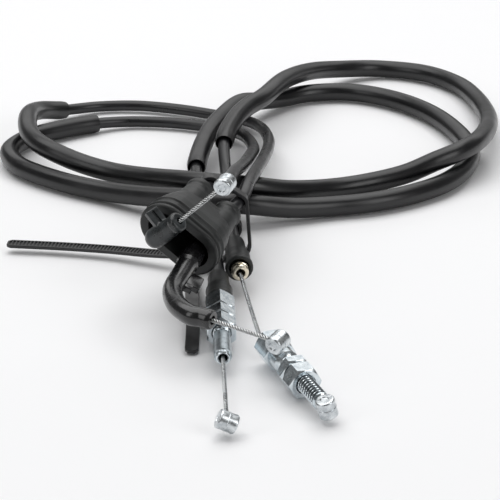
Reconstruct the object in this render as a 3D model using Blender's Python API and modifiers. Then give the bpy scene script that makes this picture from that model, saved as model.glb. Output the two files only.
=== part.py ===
# Coiled pair of throttle cables, tied for storage: a pull cable and a return cable that share one boot.
# Metres, +Z up. The set lies on its sleeves, with the carburettor ends towards -Y.
import math

import bmesh
import bpy
import numpy as np
from mathutils import Matrix, Vector

MM = 0.001

# Cables
CASING_DIAMETER = 5.0 * MM
SLEEVE_DIAMETER = 8.3 * MM
SLEEVE_WALL = 0.95 * MM
WIRE_DIAMETER = 1.5 * MM
WIRE_BORE = 3.0 * MM
ROUTE_STEP = 13.5 * MM
ROUTE_FINENESS = 16
STRAIGHT_END = 30.0 * MM
FIT_GAP = 0.3 * MM
EDGE = 0.5 * MM
CUT_OVER = 1.0 * MM

# Barrel nipples
NIPPLE_DIAMETER = 6.4 * MM
NIPPLE_LENGTH = 6.4 * MM

# Boot: racetrack mouth at local Z 0, two nozzles at the far end
BOOT_LENGTH = 32.0 * MM
BOOT_MOUTH_LENGTH = 30.4 * MM
BOOT_MOUTH_OFFSET = -0.9 * MM
BOOT_MOUTH_WIDTH = 17.0 * MM
BOOT_WAIST_LENGTH = 22.5 * MM
BOOT_WAIST_WIDTH = 9.6 * MM
BOOT_WAIST_AT = 24.0 * MM
BOOT_WALL = 1.9 * MM
BOOT_LIP_WALL = 2.6 * MM
BOOT_RIM_HEIGHT = 3.0 * MM
BOOT_RIM_PROUD = 0.8 * MM
BOOT_BULGE = (1.2 * MM, 0.8 * MM)
NOZZLE_DIAMETER = 9.2 * MM
CABLE_SPACING = 13.0 * MM

# Grip-end pipes and the ferrules inside the boot
PIPE_DIAMETER = 7.0 * MM
PIPE_INSET = 7.0 * MM
FERRULE_DIAMETER = 6.2 * MM
FERRULE_SEAT = 5.0 * MM
FERRULE_NOSE = 2.5 * MM
ELBOW_LEG = 13.2 * MM
ELBOW_DIAMETER = 6.6 * MM
TAB_LENGTH = 9.0 * MM
TAB_WIDTH = 5.0 * MM
TAB_THICKNESS = 2.2 * MM
TAB_AT = 5.8 * MM
LUG_LENGTH = 8.0 * MM
LUG_WIDTH = 5.5 * MM
LUG_THICKNESS = 2.4 * MM
PIPE_LEAD = 4.0 * MM
PIPE_OUT = 2.0 * MM
PIPE_STEP = 3.0 * MM
LUG_OFFSET = 2.6 * MM
ELBOW_ROUND = 0.8 * MM
GRIP_WIRE_DEPTH = 3.0 * MM
PULL_GRIP_REACH = 24.0 * MM
RETURN_GRIP_REACH = 26.0 * MM

# Adjusters, measured along each adjuster's axis from the back of its hexagon
HEX_FLATS = 10.0 * MM
HEX_LENGTH = 10.0 * MM
SOCKET_DIAMETER = 6.9 * MM
SOCKET_DEPTH = 7.5 * MM
SHANK_DIAMETER = 6.0 * MM
SEATED_SHANK = 31.5 * MM
SEATED_TIP_DIAMETER = 5.0 * MM
SEATED_TIP_LENGTH = 1.6 * MM
LOOSE_NECK_DIAMETER = 8.6 * MM
LOOSE_NECK_LENGTH = 6.5 * MM
LOOSE_SHANK = 28.0 * MM
NUT_FLATS = 10.0 * MM
NUT_BORE = 6.7 * MM
THIN_NUT = 4.0 * MM
THICK_NUT = 6.5 * MM
SEATED_NUT_GAP = 0.6 * MM
SEATED_INNER_NUT_AT = 0.4 * MM
LOOSE_INNER_NUT_AT = 3.5 * MM
LOOSE_NUT_GAP = 1.0 * MM
PULL_WIRE_REACH = 43.0 * MM
PULL_WIRE_DEPTH = 17.0 * MM
RETURN_WIRE_DEPTH = 34.0 * MM
NIPPLE_GAP = 0.5 * MM
SPAN_LEAD = 6.0 * MM
WIRE_STEP = 2 * WIRE_DIAMETER

# Carburettor-end ferrules and rubber caps
CAP_LENGTH = 21.0 * MM
CAP_BACK_DIAMETER = 7.4 * MM
CAP_LIP_DIAMETER = 10.2 * MM
CAP_LIP_LENGTH = 7.0 * MM
CAP_CLEARANCE = 0.35 * MM
CAP_SET_BACK = 4.0 * MM
CAP_TAPER = 4.0 * MM
CAP_LIP_BAND = 1.8 * MM
OPEN_FERRULE_NOSE = 8.0 * MM
OPEN_FERRULE_FLANGE = 6.8 * MM
FLANGE_LENGTH = 1.4 * MM

# Cable ties
TIE_WIDTH = 4.8 * MM
TIE_THICKNESS = 1.3 * MM
TIE_HEAD = (7.0 * MM, 5.6 * MM, 4.6 * MM)
BUNDLE_LOOP = (10.8 * MM, 19.0 * MM)
CASING_LOOP = (9.6 * MM, 7.4 * MM)
LOOP_SQUARENESS = 0.5
LOOP_STEPS = 26

# Resolution
ROUND_SIDES = 20
CASING_RESOLUTION = 2
SLEEVE_RESOLUTION = 3

# Where the ends lie, in millimetres, and which way they point. The shift centres the set over its origin
LAYOUT_SHIFT = (0.08, 6.21, 0.24)
BOOT_LOWER_LIP = (-15.67, -102.59, 17.25)
BOOT_AXIS = (0.36, 0.92, 0.13)
BOOT_LONG = (0.72, -0.32, -0.61)
ELBOW_CORNER = (-35.0, -103.2, 29.0)
ELBOW_AIM = (0.66, -0.4, 0.636)
TAB_AIM = (-0.62, 0.42, 0.66)
TAB_SIDE = (0.7, 0.6, 0.3)
PULL_GRIP_AIM = (0.66, -0.33, 0.675)
RETURN_GRIP_AIM = (0.822, -0.568, -0.042)
PULL_GRIP_AXLE = (0.36, 0.93, 0.1)
RETURN_GRIP_AXLE = (0.55, 0.8, 0.2)
SEATED_HEAD = (-12.6, -111.0, 7.4)
SEATED_AIM = (0.04, -0.9987, -0.03)
LOOSE_HEAD = (4.5, -143.2, 6.65)
LOOSE_AIM = (0.366, -0.93, -0.03)
OPEN_FERRULE = (-5.4, -88.0, 9.0)
OPEN_AIM = (0.1, -0.992, -0.07)
BUNDLE_LOOP_CENTRE = (-12.4, -63.0, 20.6)
CASING_LOOP_CENTRE = (-12.2, -46.0, 8.3)

# Hand-laid routes in millimetres, from the boot to the carburettor end
PULL_LOOSE = [
    (-11.0, -56, 33.0), (-8, -36, 29.5), (-4.5, -12, 24), (-1.5, 15, 19), (-0.5, 36.5, 14), (-2.5, 60.5, 9.5),
    (-6.5, 79, 6), (-13, 93, 3.5), (-22.5, 99, 3), (-38.5, 104, 3), (-56.5, 105.5, 3), (-72, 99.5, 4),
    (-87, 89.5, 4.5), (-99, 78.5, 4.5), (-106, 61, 4.5), (-101.5, 44, 4.5), (-92, 32, 4.5), (-76.5, 19, 4.5),
    (-59.5, 8, 5), (-42.5, -4, 7.5), (-28, -13, 10), (-16.5, -18, 10.5), (-2, -18.5, 9.5), (14, -13, 6),
    (30, -7.5, 4.5), (46.5, -3, 4.5), (63, 6, 4.5), (78.5, 20, 4.5), (89, 39, 4.5), (93.5, 63, 4.5),
    (88.5, 92.5, 4.5), (78.5, 117, 4.5), (63.5, 135.5, 4.5), (45.5, 145.5, 4.5), (26.5, 144, 4.5),
    (12, 134.5, 4.7), (1.5, 120.5, 8), (-6.5, 107.5, 11.2), (-13.5, 91, 11), (-20.5, 67, 9.5),
    (-24.5, 31, 7), (-21.5, 8, 3.4), (-19, -14, 2.9), (-16.8, -38, 4.5), (-15.2, -62, 7.4),
]
RETURN_LOOSE = [
    (-5.2, -60, 27.4), (-2.2, -40, 27.0), (1, -15, 23.5), (3.5, 9.5, 19), (5.5, 35.5, 14), (6, 62, 9.5),
    (3, 87.5, 6), (-4.5, 106, 3.5), (-17.5, 115, 3), (-34.5, 123.5, 3), (-53.5, 129, 3), (-72, 128, 3), (-87.5, 118, 4.5),
    (-97, 102, 9.5), (-99.5, 80.5, 14), (-97.5, 60, 14.2), (-92.5, 46, 13.6), (-84, 37, 12), (-72, 31, 9),
    (-58, 24, 7.5), (-43, 12.5, 9.5), (-28, -2, 13.5), (-16.5, -9.5, 15), (-2, -10, 14), (14, -1, 9),
    (31, 12, 5), (47.5, 20, 4.6), (62.5, 24, 7), (75, 27, 11.5), (86, 33, 14), (94, 45, 14), (101, 68, 11.5),
    (105, 97, 8), (104, 130, 5.5), (98, 157, 4.5), (83.5, 176, 4.5), (62, 184, 4.5), (42, 175, 7),
    (26.5, 153, 12.5), (14, 124.5, 17), (4, 95, 18), (-4, 80, 17.5), (-9.5, 66, 15.5), (-13, 50, 12),
    (-12, 28, 6), (-10.3, 4, 3), (-9.0, -14, 2.8), (-8.6, -28, 3.8), (-8.6, -40, 8),
]
PULL_SLEEVE_SPAN = (11, 40)
RETURN_SLEEVE_SPAN = (12, 43)
BENT_PIPE_LOOSE = [(-26.2, -116.5, 20), (-28.4, -127, 19), (-26.6, -137.5, 18.4), (-21.9, -145, 18)]
BENT_PIPE_TIP = (-14.3, -148.6, 17.6)
BENT_PIPE_AIM = (0.89, -0.45, -0.05)
LUG_SIDE = (1.0, -0.25, -0.5)
BUNDLE_TAIL = [(-95, -44, 3.0), (-75, -46.5, 3.0), (-55, -51, 3.4), (-40, -57, 4.4), (-29, -61.2, 5.6)]
BUNDLE_TAIL_LEAN = (0.0, 1.0, 0.12)
CASING_TAIL = [
    (-21.8, -138, 1.2), (-21.8, -124, 2.0), (-22.2, -108, 2.4), (-23.0, -92, 2.0), (-23.4, -76, 1.3),
    (-23.6, -63, 1.1), (-22.6, -53, 2.6),
]
CASING_TAIL_LEAN = (1.0, 0.0, 0.0)


def clear_scene():
    for found in list(bpy.data.objects):
        bpy.data.objects.remove(found, do_unlink=True)


def new_collection(name):
    group = bpy.data.collections.new(name)
    bpy.context.scene.collection.children.link(group)
    return group


def finish_material(name, colour, roughness, metallic):
    made = bpy.data.materials.new(name)
    made.use_nodes = True
    shader = made.node_tree.nodes["Principled BSDF"]
    shader.inputs["Base Color"].default_value = (*colour, 1.0)
    shader.inputs["Roughness"].default_value = roughness
    shader.inputs["Metallic"].default_value = metallic
    return made


def scaled(point):
    return (Vector(point) + Vector(LAYOUT_SHIFT)) * MM


def aim_matrix(point, direction, side=(0.0, 0.0, 1.0)):
    # Local +Z along direction, local +X as near to side as it can be
    up = Vector(direction).normalized()
    across = Vector(side) - up * Vector(side).dot(up)
    across.normalize()
    other = up.cross(across)
    turn = Matrix((across, other, up)).transposed()
    return Matrix.Translation(point) @ turn.to_4x4()


def frame_empty(name, matrix):
    empty = bpy.data.objects.new(name, None)
    empty.empty_display_size = CASING_DIAMETER
    parts.objects.link(empty)
    empty.matrix_world = matrix
    return empty


def mesh_object(name, form):
    mesh = bpy.data.meshes.new(name)
    bmesh.ops.remove_doubles(form, verts=form.verts, dist=1e-6)
    bmesh.ops.recalc_face_normals(form, faces=form.faces)
    form.to_mesh(mesh)
    form.free()
    made = bpy.data.objects.new(name, mesh)
    parts.objects.link(made)
    return made


def frozen(source):
    # The evaluated shape as one plain welded mesh
    bpy.context.view_layer.update()
    graph = bpy.context.evaluated_depsgraph_get()
    mesh = bpy.data.meshes.new_from_object(source.evaluated_get(graph))
    form = bmesh.new()
    form.from_mesh(mesh)
    bpy.data.meshes.remove(mesh)
    name = source.name
    place = source.matrix_world.copy()
    bpy.data.objects.remove(source, do_unlink=True)
    made = mesh_object(name, form)
    made.name = name
    made.matrix_world = place
    return made


def turned(name, profile, sides=ROUND_SIDES):
    # A closed profile of (radius, height) pairs swept round Z
    mesh = bpy.data.meshes.new(name)
    count = len(profile)
    edges = [(at, (at + 1) % count) for at in range(count)]
    if profile[0][0] == 0.0 and profile[-1][0] == 0.0:
        edges.pop()
    mesh.from_pydata([(radius, 0.0, height) for radius, height in profile], edges, [])
    made = bpy.data.objects.new(name, mesh)
    parts.objects.link(made)
    screw = made.modifiers.new("turn", "SCREW")
    screw.steps = sides
    screw.render_steps = sides
    screw.use_merge_vertices = True
    screw.merge_threshold = 1e-5
    return frozen(made)


def rod(name, radius, low, high, sides=ROUND_SIDES):
    form = bmesh.new()
    bmesh.ops.create_cone(form, cap_ends=True, segments=sides, radius1=radius, radius2=radius, depth=high - low,
                          matrix=Matrix.Translation((0.0, 0.0, (high + low) / 2)))
    return mesh_object(name, form)


def block(name, size, centre=(0.0, 0.0, 0.0)):
    form = bmesh.new()
    bmesh.ops.create_cube(form, size=1.0, matrix=Matrix.Translation(centre) @ Matrix.Diagonal((*size, 1.0)))
    return mesh_object(name, form)


def combine(target, tools, operation):
    for tool in tools:
        step = target.modifiers.new(operation.lower(), "BOOLEAN")
        step.operation = operation
        step.object = tool
        cutters.objects.link(tool)
        parts.objects.unlink(tool)
        tool.hide_render = True
        tool.display_type = "WIRE"
    made = frozen(target)
    for tool in tools:
        bpy.data.objects.remove(tool, do_unlink=True)
    return made


def smooth_route(points):
    # Catmull-Rom curve through the points
    line = [np.array(point, float) for point in points]
    line = [2 * line[0] - line[1], *line, 2 * line[-1] - line[-2]]
    fine = []
    for at in range(1, len(line) - 2):
        before, start, end, after = line[at - 1:at + 3]
        for share in np.linspace(0.0, 1.0, ROUTE_FINENESS, endpoint=False):
            bend = (2 * before - 5 * start + 4 * end - after) * share ** 2
            swing = (3 * start - before - 3 * end + after) * share ** 3
            fine.append(0.5 * (2 * start + (end - before) * share + bend + swing))
    fine.append(line[-2])
    return np.array(fine)


def spaced(line, step):
    along = np.concatenate([[0.0], np.cumsum(np.linalg.norm(np.diff(line, axis=0), axis=1))])
    count = max(2, math.ceil(along[-1] / step) + 1)
    at = np.linspace(0.0, along[-1], count)
    return np.stack([np.interp(at, along, line[:, axis]) for axis in range(3)], axis=1)


def tube(name, points, radius, resolution, capped=True):
    curve = bpy.data.curves.new(name, "CURVE")
    curve.dimensions = "3D"
    curve.bevel_depth = radius
    curve.bevel_resolution = resolution
    curve.use_fill_caps = capped
    curve.twist_mode = "MINIMUM"
    spline = curve.splines.new("POLY")
    spline.points.add(len(points) - 1)
    for slot, point in zip(spline.points, points):
        slot.co = (*point, 1.0)
    made = bpy.data.objects.new(name, curve)
    parts.objects.link(made)
    return made


def strip(name, points, leans, width, thickness):
    # A flat band: one rectangular section at each point, joined in turn
    form = bmesh.new()
    rings = []
    for at, point in enumerate(points):
        ahead = points[min(at + 1, len(points) - 1)] - points[max(at - 1, 0)]
        ahead.normalize()
        across = leans[at] - ahead * leans[at].dot(ahead)
        across.normalize()
        up = ahead.cross(across)
        corners = [(-1, -1), (1, -1), (1, 1), (-1, 1)]
        rings.append([form.verts.new(point + across * (a * width / 2) + up * (b * thickness / 2))
                      for a, b in corners])
    for first, second in zip(rings, rings[1:]):
        for at in range(4):
            following = (at + 1) % 4
            form.faces.new((first[at], first[following], second[following], second[at]))
    form.faces.new(rings[0])
    form.faces.new(rings[-1])
    return mesh_object(name, form)


def racetrack(length, width, height, offset=0.0, arc_steps=8):
    # Points of a stadium section in the XY plane, long along X, moved along X by the offset
    radius = width / 2
    reach = length / 2 - radius
    points = []
    for side, start in ((reach, -math.pi / 2), (-reach, math.pi / 2)):
        for step in range(arc_steps + 1):
            angle = start + math.pi * step / arc_steps
            points.append((offset + side + radius * math.cos(angle), radius * math.sin(angle), height))
    return points


def loft(name, sections):
    form = bmesh.new()
    rings = [[form.verts.new(point) for point in section] for section in sections]
    count = len(rings[0])
    for first, second in zip(rings, rings[1:]):
        for at in range(count):
            following = (at + 1) % count
            form.faces.new((first[at], first[following], second[following], second[at]))
    form.faces.new(rings[0])
    form.faces.new(rings[-1])
    return mesh_object(name, form)


def keep(made, material, parent=None, place=None, angle=35.0):
    made.data.materials.clear()
    made.data.materials.append(material)
    if made.type == "MESH":
        made.data.shade_smooth()
        made.data.set_sharp_from_angle(angle=math.radians(angle))
    if place is not None:
        made.matrix_world = place
    if parent is not None:
        bpy.context.view_layer.update()
        local = made.matrix_world.copy()
        made.parent = parent
        made.matrix_parent_inverse = Matrix.Identity(4)
        made.matrix_basis = local
    return made


def in_world(frame, point):
    return frame @ Vector(point)


def make_boot(frame_node):
    half = CABLE_SPACING / 2
    rim_length = BOOT_MOUTH_LENGTH + 2 * BOOT_RIM_PROUD
    rim_width = BOOT_MOUTH_WIDTH + 2 * BOOT_RIM_PROUD
    middle_length = (BOOT_MOUTH_LENGTH + BOOT_WAIST_LENGTH) / 2 + BOOT_BULGE[0]
    middle_width = (BOOT_MOUTH_WIDTH + BOOT_WAIST_WIDTH) / 2 + BOOT_BULGE[1]
    middle_at = (BOOT_RIM_HEIGHT + BOOT_WAIST_AT) / 2
    mouth_at = BOOT_MOUTH_OFFSET
    middle_offset = BOOT_MOUTH_OFFSET / 2
    boot = loft("rubber_boot", [
        racetrack(rim_length, rim_width, 0.0, mouth_at),
        racetrack(rim_length, rim_width, BOOT_RIM_HEIGHT, mouth_at),
        racetrack(BOOT_MOUTH_LENGTH, BOOT_MOUTH_WIDTH, BOOT_RIM_HEIGHT + BOOT_RIM_PROUD, mouth_at),
        racetrack(middle_length, middle_width, middle_at, middle_offset),
        racetrack(BOOT_WAIST_LENGTH, BOOT_WAIST_WIDTH, BOOT_WAIST_AT),
    ])
    lip = 2 * BOOT_LIP_WALL
    inner = 2 * BOOT_WALL
    floor = BOOT_WAIST_AT - 2 * BOOT_WALL
    cavity = loft("boot_cavity", [
        racetrack(BOOT_MOUTH_LENGTH - lip, BOOT_MOUTH_WIDTH - lip, -CUT_OVER, mouth_at),
        racetrack(BOOT_MOUTH_LENGTH - lip, BOOT_MOUTH_WIDTH - lip, BOOT_RIM_HEIGHT, mouth_at),
        racetrack(middle_length - inner, middle_width - inner, middle_at, middle_offset),
        racetrack(BOOT_WAIST_LENGTH - BOOT_WALL, BOOT_WAIST_WIDTH - BOOT_WALL, floor),
    ])
    nozzles = []
    bores = []
    for side in (-half, half):
        nozzle = rod("nozzle", NOZZLE_DIAMETER / 2, floor + BOOT_WALL, BOOT_LENGTH)
        nozzle.location.x = side
        nozzles.append(nozzle)
        bore = rod("nozzle_bore", CASING_DIAMETER / 2 + FIT_GAP, middle_at, BOOT_LENGTH + CUT_OVER)
        bore.location.x = side
        bores.append(bore)
    boot = combine(boot, nozzles, "UNION")
    boot = combine(boot, [cavity, *bores], "DIFFERENCE")
    return keep(boot, rubber, frame_node)


def make_grip_ferrule(name, frame_node, side):
    # A cup pressed on the casing's end, inside the boot
    low = PIPE_INSET + FIT_GAP
    seat = low + FERRULE_NOSE
    top = seat + FERRULE_SEAT
    outer = FERRULE_DIAMETER / 2
    inner = CASING_DIAMETER / 2 + FIT_GAP
    cup = turned(name, [(outer, top), (outer, low), (WIRE_BORE / 2, low), (WIRE_BORE / 2, seat),
                        (inner, seat), (inner, top)])
    cup.location.x = side
    return keep(cup, zinc, frame_node)


def make_elbow(frame, frame_node, side):
    # Inlet leg, mitred corner, domed exit leg and a flat locating tab
    radius = ELBOW_DIAMETER / 2
    inlet = rod("upper_elbow", radius, -radius / 2, PIPE_INSET)
    inlet.location.x = side
    turn = frame.to_3x3().inverted()
    exit_way = turn @ Vector(ELBOW_AIM).normalized()
    corner = frame.inverted() @ scaled(ELBOW_CORNER)
    entry_point = Vector((side, 0.0, 0.0))
    neck = rod("neck", radius, 0.0, (entry_point - corner).length)
    neck.matrix_world = aim_matrix(corner, entry_point - corner, exit_way)
    leg = turned("exit_leg", [(0.0, ELBOW_LEG), (radius - ELBOW_ROUND, ELBOW_LEG), (radius, ELBOW_LEG - ELBOW_ROUND),
                              (radius, 0.0), (radius * 0.8, -radius * 0.55), (radius * 0.4, -radius * 0.8),
                              (0.0, -radius * 0.85)])
    leg.matrix_world = aim_matrix(corner, exit_way)
    tab_way = turn @ Vector(TAB_AIM).normalized()
    tab = block("tab", (TAB_WIDTH, TAB_THICKNESS, TAB_LENGTH), (0.0, 0.0, TAB_LENGTH / 2))
    tab.matrix_world = aim_matrix(corner + exit_way * TAB_AT, tab_way, turn @ Vector(TAB_SIDE))
    body = combine(inlet, [neck, leg, tab], "UNION")
    wire_way = turn @ Vector(PULL_GRIP_AIM).normalized()
    mouth = corner + exit_way * ELBOW_LEG
    hole = rod("wire_hole", WIRE_BORE / 2, -GRIP_WIRE_DEPTH - CUT_OVER, PIPE_LEAD)
    hole.matrix_world = aim_matrix(mouth, wire_way)
    entry = rod("casing_hole", WIRE_BORE / 2, 0.0, PIPE_INSET + CUT_OVER)
    entry.location.x = side
    body = combine(body, [hole, entry], "DIFFERENCE")
    keep(body, nylon, frame_node)
    return in_world(frame, mouth)


def make_bent_pipe(frame, side):
    aim = Vector(BENT_PIPE_AIM).normalized()
    tip = scaled(BENT_PIPE_TIP)
    start = in_world(frame, (side, 0.0, PIPE_INSET))
    lip = in_world(frame, (side, 0.0, -PIPE_OUT))
    points = [tuple(start), tuple((start + lip) / 2), tuple(lip), *[tuple(scaled(p)) for p in BENT_PIPE_LOOSE],
              tuple(tip - aim * PIPE_LEAD), tuple(tip)]
    line = spaced(smooth_route(points), PIPE_STEP)
    pipe = frozen(tube("bent_pipe", line, PIPE_DIAMETER / 2, 4))
    hole = rod("tip_hole", WIRE_BORE / 2, -GRIP_WIRE_DEPTH - CUT_OVER, PIPE_OUT)
    hole.matrix_world = aim_matrix(tip, Vector(RETURN_GRIP_AIM))
    entry = rod("casing_hole", WIRE_BORE / 2, 0.0, PIPE_INSET + CUT_OVER)
    entry.matrix_world = frame @ Matrix.Translation((side, 0.0, 0.0))
    lug = block("lug", (LUG_WIDTH, LUG_THICKNESS, LUG_LENGTH), (LUG_WIDTH / 2, 0.0, 0.0))
    lug_step = block("lug_step", (LUG_WIDTH * 0.6, LUG_THICKNESS, LUG_LENGTH * 0.4),
                     (LUG_WIDTH * 0.3, 0.0, LUG_LENGTH * 0.6))
    root = scaled(BENT_PIPE_LOOSE[0])
    way = scaled(BENT_PIPE_LOOSE[1]) - scaled(BENT_PIPE_LOOSE[0])
    for piece in (lug, lug_step):
        piece.matrix_world = aim_matrix(root, way, LUG_SIDE) @ Matrix.Translation((LUG_OFFSET, 0.0, 0.0))
    pipe = combine(pipe, [lug, lug_step], "UNION")
    pipe = combine(pipe, [hole, entry], "DIFFERENCE")
    keep(pipe, steel_black)
    return tip


def make_nipple(name, centre, wire_way, axle):
    # A barrel across the wire, with the wire's hole through its middle
    radius = NIPPLE_DIAMETER / 2
    half = NIPPLE_LENGTH / 2
    barrel = turned(name, [(0.0, half), (radius - EDGE, half), (radius, half - EDGE), (radius, EDGE - half),
                           (radius - EDGE, -half), (0.0, -half)])
    barrel.matrix_world = aim_matrix(centre, axle)
    hole = rod("nipple_hole", WIRE_DIAMETER / 2 + FIT_GAP, -NIPPLE_DIAMETER, NIPPLE_DIAMETER * 0.05, 12)
    hole.matrix_world = aim_matrix(centre, wire_way)
    barrel = combine(barrel, [hole], "DIFFERENCE")
    return keep(barrel, zinc)


def make_wire(name, points):
    wire = tube(name, points, WIRE_DIAMETER / 2, 2)
    return keep(wire, steel_bright)


def chamfered_hex(name, flats, low, high):
    # A hexagon with its outer corners turned down at both ends
    corner = flats / math.sqrt(3)
    body = rod(name, corner, low, high, 6)
    envelope = turned("corner_turn", [(0.0, high), (flats / 2, high), (corner, high - EDGE), (corner, low + EDGE),
                                      (flats / 2, low), (0.0, low)], 24)
    return combine(body, [envelope], "INTERSECT")


def make_nut(name, frame_node, low, thickness):
    nut = chamfered_hex(name, NUT_FLATS, low, low + thickness)
    bore = rod("nut_bore", NUT_BORE / 2, low - CUT_OVER, low + thickness + CUT_OVER)
    return keep(combine(nut, [bore], "DIFFERENCE"), zinc, frame_node)


def make_adjuster(name, frame_node, stem):
    # Hexagon with a socket at its back, on a bored shank
    head = chamfered_hex(name, HEX_FLATS, 0.0, HEX_LENGTH)
    socket = rod("socket", SOCKET_DIAMETER / 2, -CUT_OVER, SOCKET_DEPTH)
    end = stem[-1][1]
    through = rod("through", WIRE_BORE / 2, SOCKET_DEPTH - CUT_OVER, end + CUT_OVER)
    shank = turned("shank", [(0.0, end), *stem[::-1], (0.0, stem[0][1])])
    head = combine(head, [shank], "UNION")
    return keep(combine(head, [socket, through], "DIFFERENCE"), zinc, frame_node)


def make_cap(name, frame_node, lip_at, ferrule_back):
    # A rubber boot that slides on the casing, flared over the ferrule
    bore = CASING_DIAMETER / 2 + CAP_CLEARANCE
    wide = OPEN_FERRULE_FLANGE / 2 + CAP_CLEARANCE
    back = lip_at - CAP_LENGTH
    flare = lip_at - CAP_LIP_LENGTH
    lip = CAP_LIP_DIAMETER / 2
    slim = CAP_BACK_DIAMETER / 2
    deep = ferrule_back - FIT_GAP
    cap = turned(name, [(wide, lip_at), (lip - EDGE, lip_at), (lip, lip_at - EDGE), (lip, lip_at - CAP_LIP_BAND),
                        (lip - EDGE, flare), (slim + EDGE, flare - CAP_TAPER), (slim, back), (bore, back),
                        (bore, deep - 1.5 * MM), (wide, deep)])
    return keep(cap, rubber, frame_node)


def make_open_ferrule(name, frame_node, nose, flange):
    # A cup on the casing's end with a flange ring and a nose; local Z 0 is the casing's end
    inner = CASING_DIAMETER / 2 + FIT_GAP
    outer = FERRULE_DIAMETER / 2
    ring = flange / 2
    cup = turned(name, [(WIRE_BORE / 2, nose), (outer - EDGE, nose), (outer, nose - EDGE),
                        (outer, FLANGE_LENGTH), (ring, FLANGE_LENGTH), (ring, 0.0), (outer, 0.0),
                        (outer, -FERRULE_SEAT), (inner, -FERRULE_SEAT), (inner, FIT_GAP), (WIRE_BORE / 2, FIT_GAP)])
    return keep(cup, brass, frame_node)


def make_tie(name, tail, lean, centre, loop, start, turn_share):
    # A band round the bundle, a head where it closes, and the free tail
    middle = scaled(centre)
    points = []
    for step in range(LOOP_STEPS + 1):
        angle = start + 2 * math.pi * turn_share * step / LOOP_STEPS
        across = math.copysign(abs(math.cos(angle)) ** LOOP_SQUARENESS, math.cos(angle))
        rise = math.copysign(abs(math.sin(angle)) ** LOOP_SQUARENESS, math.sin(angle))
        points.append(middle + Vector((loop[0] * across, 0.0, loop[1] * rise)))
    leans = [Vector((0.0, 1.0, 0.0))] * len(points)
    band = strip(name, points, leans, TIE_WIDTH, TIE_THICKNESS)
    free = [*[scaled(point) for point in tail], points[0]]
    loose_end = strip("tie_tail", free, [Vector(lean)] * len(free), TIE_WIDTH, TIE_THICKNESS)
    head = block("tie_head", TIE_HEAD)
    outward = (points[0] - middle).normalized()
    seat = points[0] + outward * (TIE_HEAD[1] - TIE_THICKNESS) / 2
    head.matrix_world = aim_matrix(seat, points[1] - points[0], leans[0])
    return keep(combine(band, [head, loose_end], "UNION"), nylon)


clear_scene()
parts = new_collection("throttle_cable_pair")
cutters = new_collection("cutters")
rubber = finish_material("moulded_rubber", (0.02, 0.02, 0.022), 0.62, 0.0)
sleeving = finish_material("vinyl_sleeving", (0.012, 0.012, 0.013), 0.36, 0.0)
casing_skin = finish_material("casing_skin", (0.02, 0.02, 0.021), 0.45, 0.0)
nylon = finish_material("black_nylon", (0.016, 0.016, 0.017), 0.4, 0.0)
steel_black = finish_material("black_plated_steel", (0.015, 0.015, 0.016), 0.25, 0.6)
zinc = finish_material("bright_zinc", (0.72, 0.75, 0.77), 0.28, 1.0)
steel_bright = finish_material("stranded_steel", (0.55, 0.54, 0.52), 0.35, 1.0)
brass = finish_material("yellow_zinc", (0.72, 0.66, 0.5), 0.3, 1.0)

# Grip end
lip_frame = aim_matrix(scaled(BOOT_LOWER_LIP), Vector(BOOT_AXIS), Vector(BOOT_LONG))
boot_frame = lip_frame @ Matrix.Translation((-BOOT_MOUTH_LENGTH / 2 - BOOT_MOUTH_OFFSET, 0.0, 0.0))
boot_empty = frame_empty("boot_frame", boot_frame)
pull_side = -CABLE_SPACING / 2
return_side = CABLE_SPACING / 2
make_boot(boot_empty)
make_grip_ferrule("pull_grip_ferrule", boot_empty, pull_side)
make_grip_ferrule("return_grip_ferrule", boot_empty, return_side)
pull_exit = make_elbow(boot_frame, boot_empty, pull_side)
return_exit = make_bent_pipe(boot_frame, return_side)
for label, point, aim, reach, axle in (
    ("pull", pull_exit, PULL_GRIP_AIM, PULL_GRIP_REACH, PULL_GRIP_AXLE),
    ("return", return_exit, RETURN_GRIP_AIM, RETURN_GRIP_REACH, RETURN_GRIP_AXLE),
):
    way = Vector(aim).normalized()
    centre = point + way * reach
    cross = Vector(axle) - way * Vector(axle).dot(way)
    make_nipple(label + "_grip_nipple", centre, way, cross)
    make_wire(label + "_grip_wire", [point - way * GRIP_WIRE_DEPTH, centre - way * FIT_GAP])

# Seated adjuster, pull cable
seated_frame = aim_matrix(scaled(SEATED_HEAD), Vector(SEATED_AIM))
seated_empty = frame_empty("seated_frame", seated_frame)
shank = SHANK_DIAMETER / 2
slim_tip = SEATED_TIP_DIAMETER / 2
seated_end = HEX_LENGTH + SEATED_SHANK
make_adjuster("seated_adjuster", seated_empty, [
    (shank, HEX_LENGTH - 1.0 * MM), (shank, seated_end), (slim_tip, seated_end),
    (slim_tip, seated_end + SEATED_TIP_LENGTH)])
inner_nut = HEX_LENGTH + SEATED_INNER_NUT_AT
outer_nut = inner_nut + THICK_NUT + SEATED_NUT_GAP
make_nut("seated_inner_nut", seated_empty, inner_nut, THICK_NUT)
make_nut("seated_outer_nut", seated_empty, outer_nut, THICK_NUT)
pull_seat = SOCKET_DEPTH - FIT_GAP - FLANGE_LENGTH - FERRULE_NOSE
pull_end_frame = seated_frame @ Matrix.Translation((0.0, 0.0, pull_seat))
pull_end_empty = frame_empty("pull_casing_end", pull_end_frame)
make_open_ferrule("pull_ferrule", pull_end_empty, FERRULE_NOSE + FLANGE_LENGTH, FERRULE_DIAMETER + 2 * FIT_GAP)
make_cap("pull_cap", seated_empty, -FIT_GAP, pull_seat - FERRULE_SEAT)
pull_tip = seated_end + SEATED_TIP_LENGTH
pull_way = Vector(SEATED_AIM).normalized()
pull_centre = in_world(seated_frame, (0.0, 0.0, pull_tip)) + pull_way * PULL_WIRE_REACH
pull_axle = Vector((0.9, 0.0, -0.42))
make_nipple("pull_carb_nipple", pull_centre, pull_way, pull_axle - pull_way * pull_axle.dot(pull_way))
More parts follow.
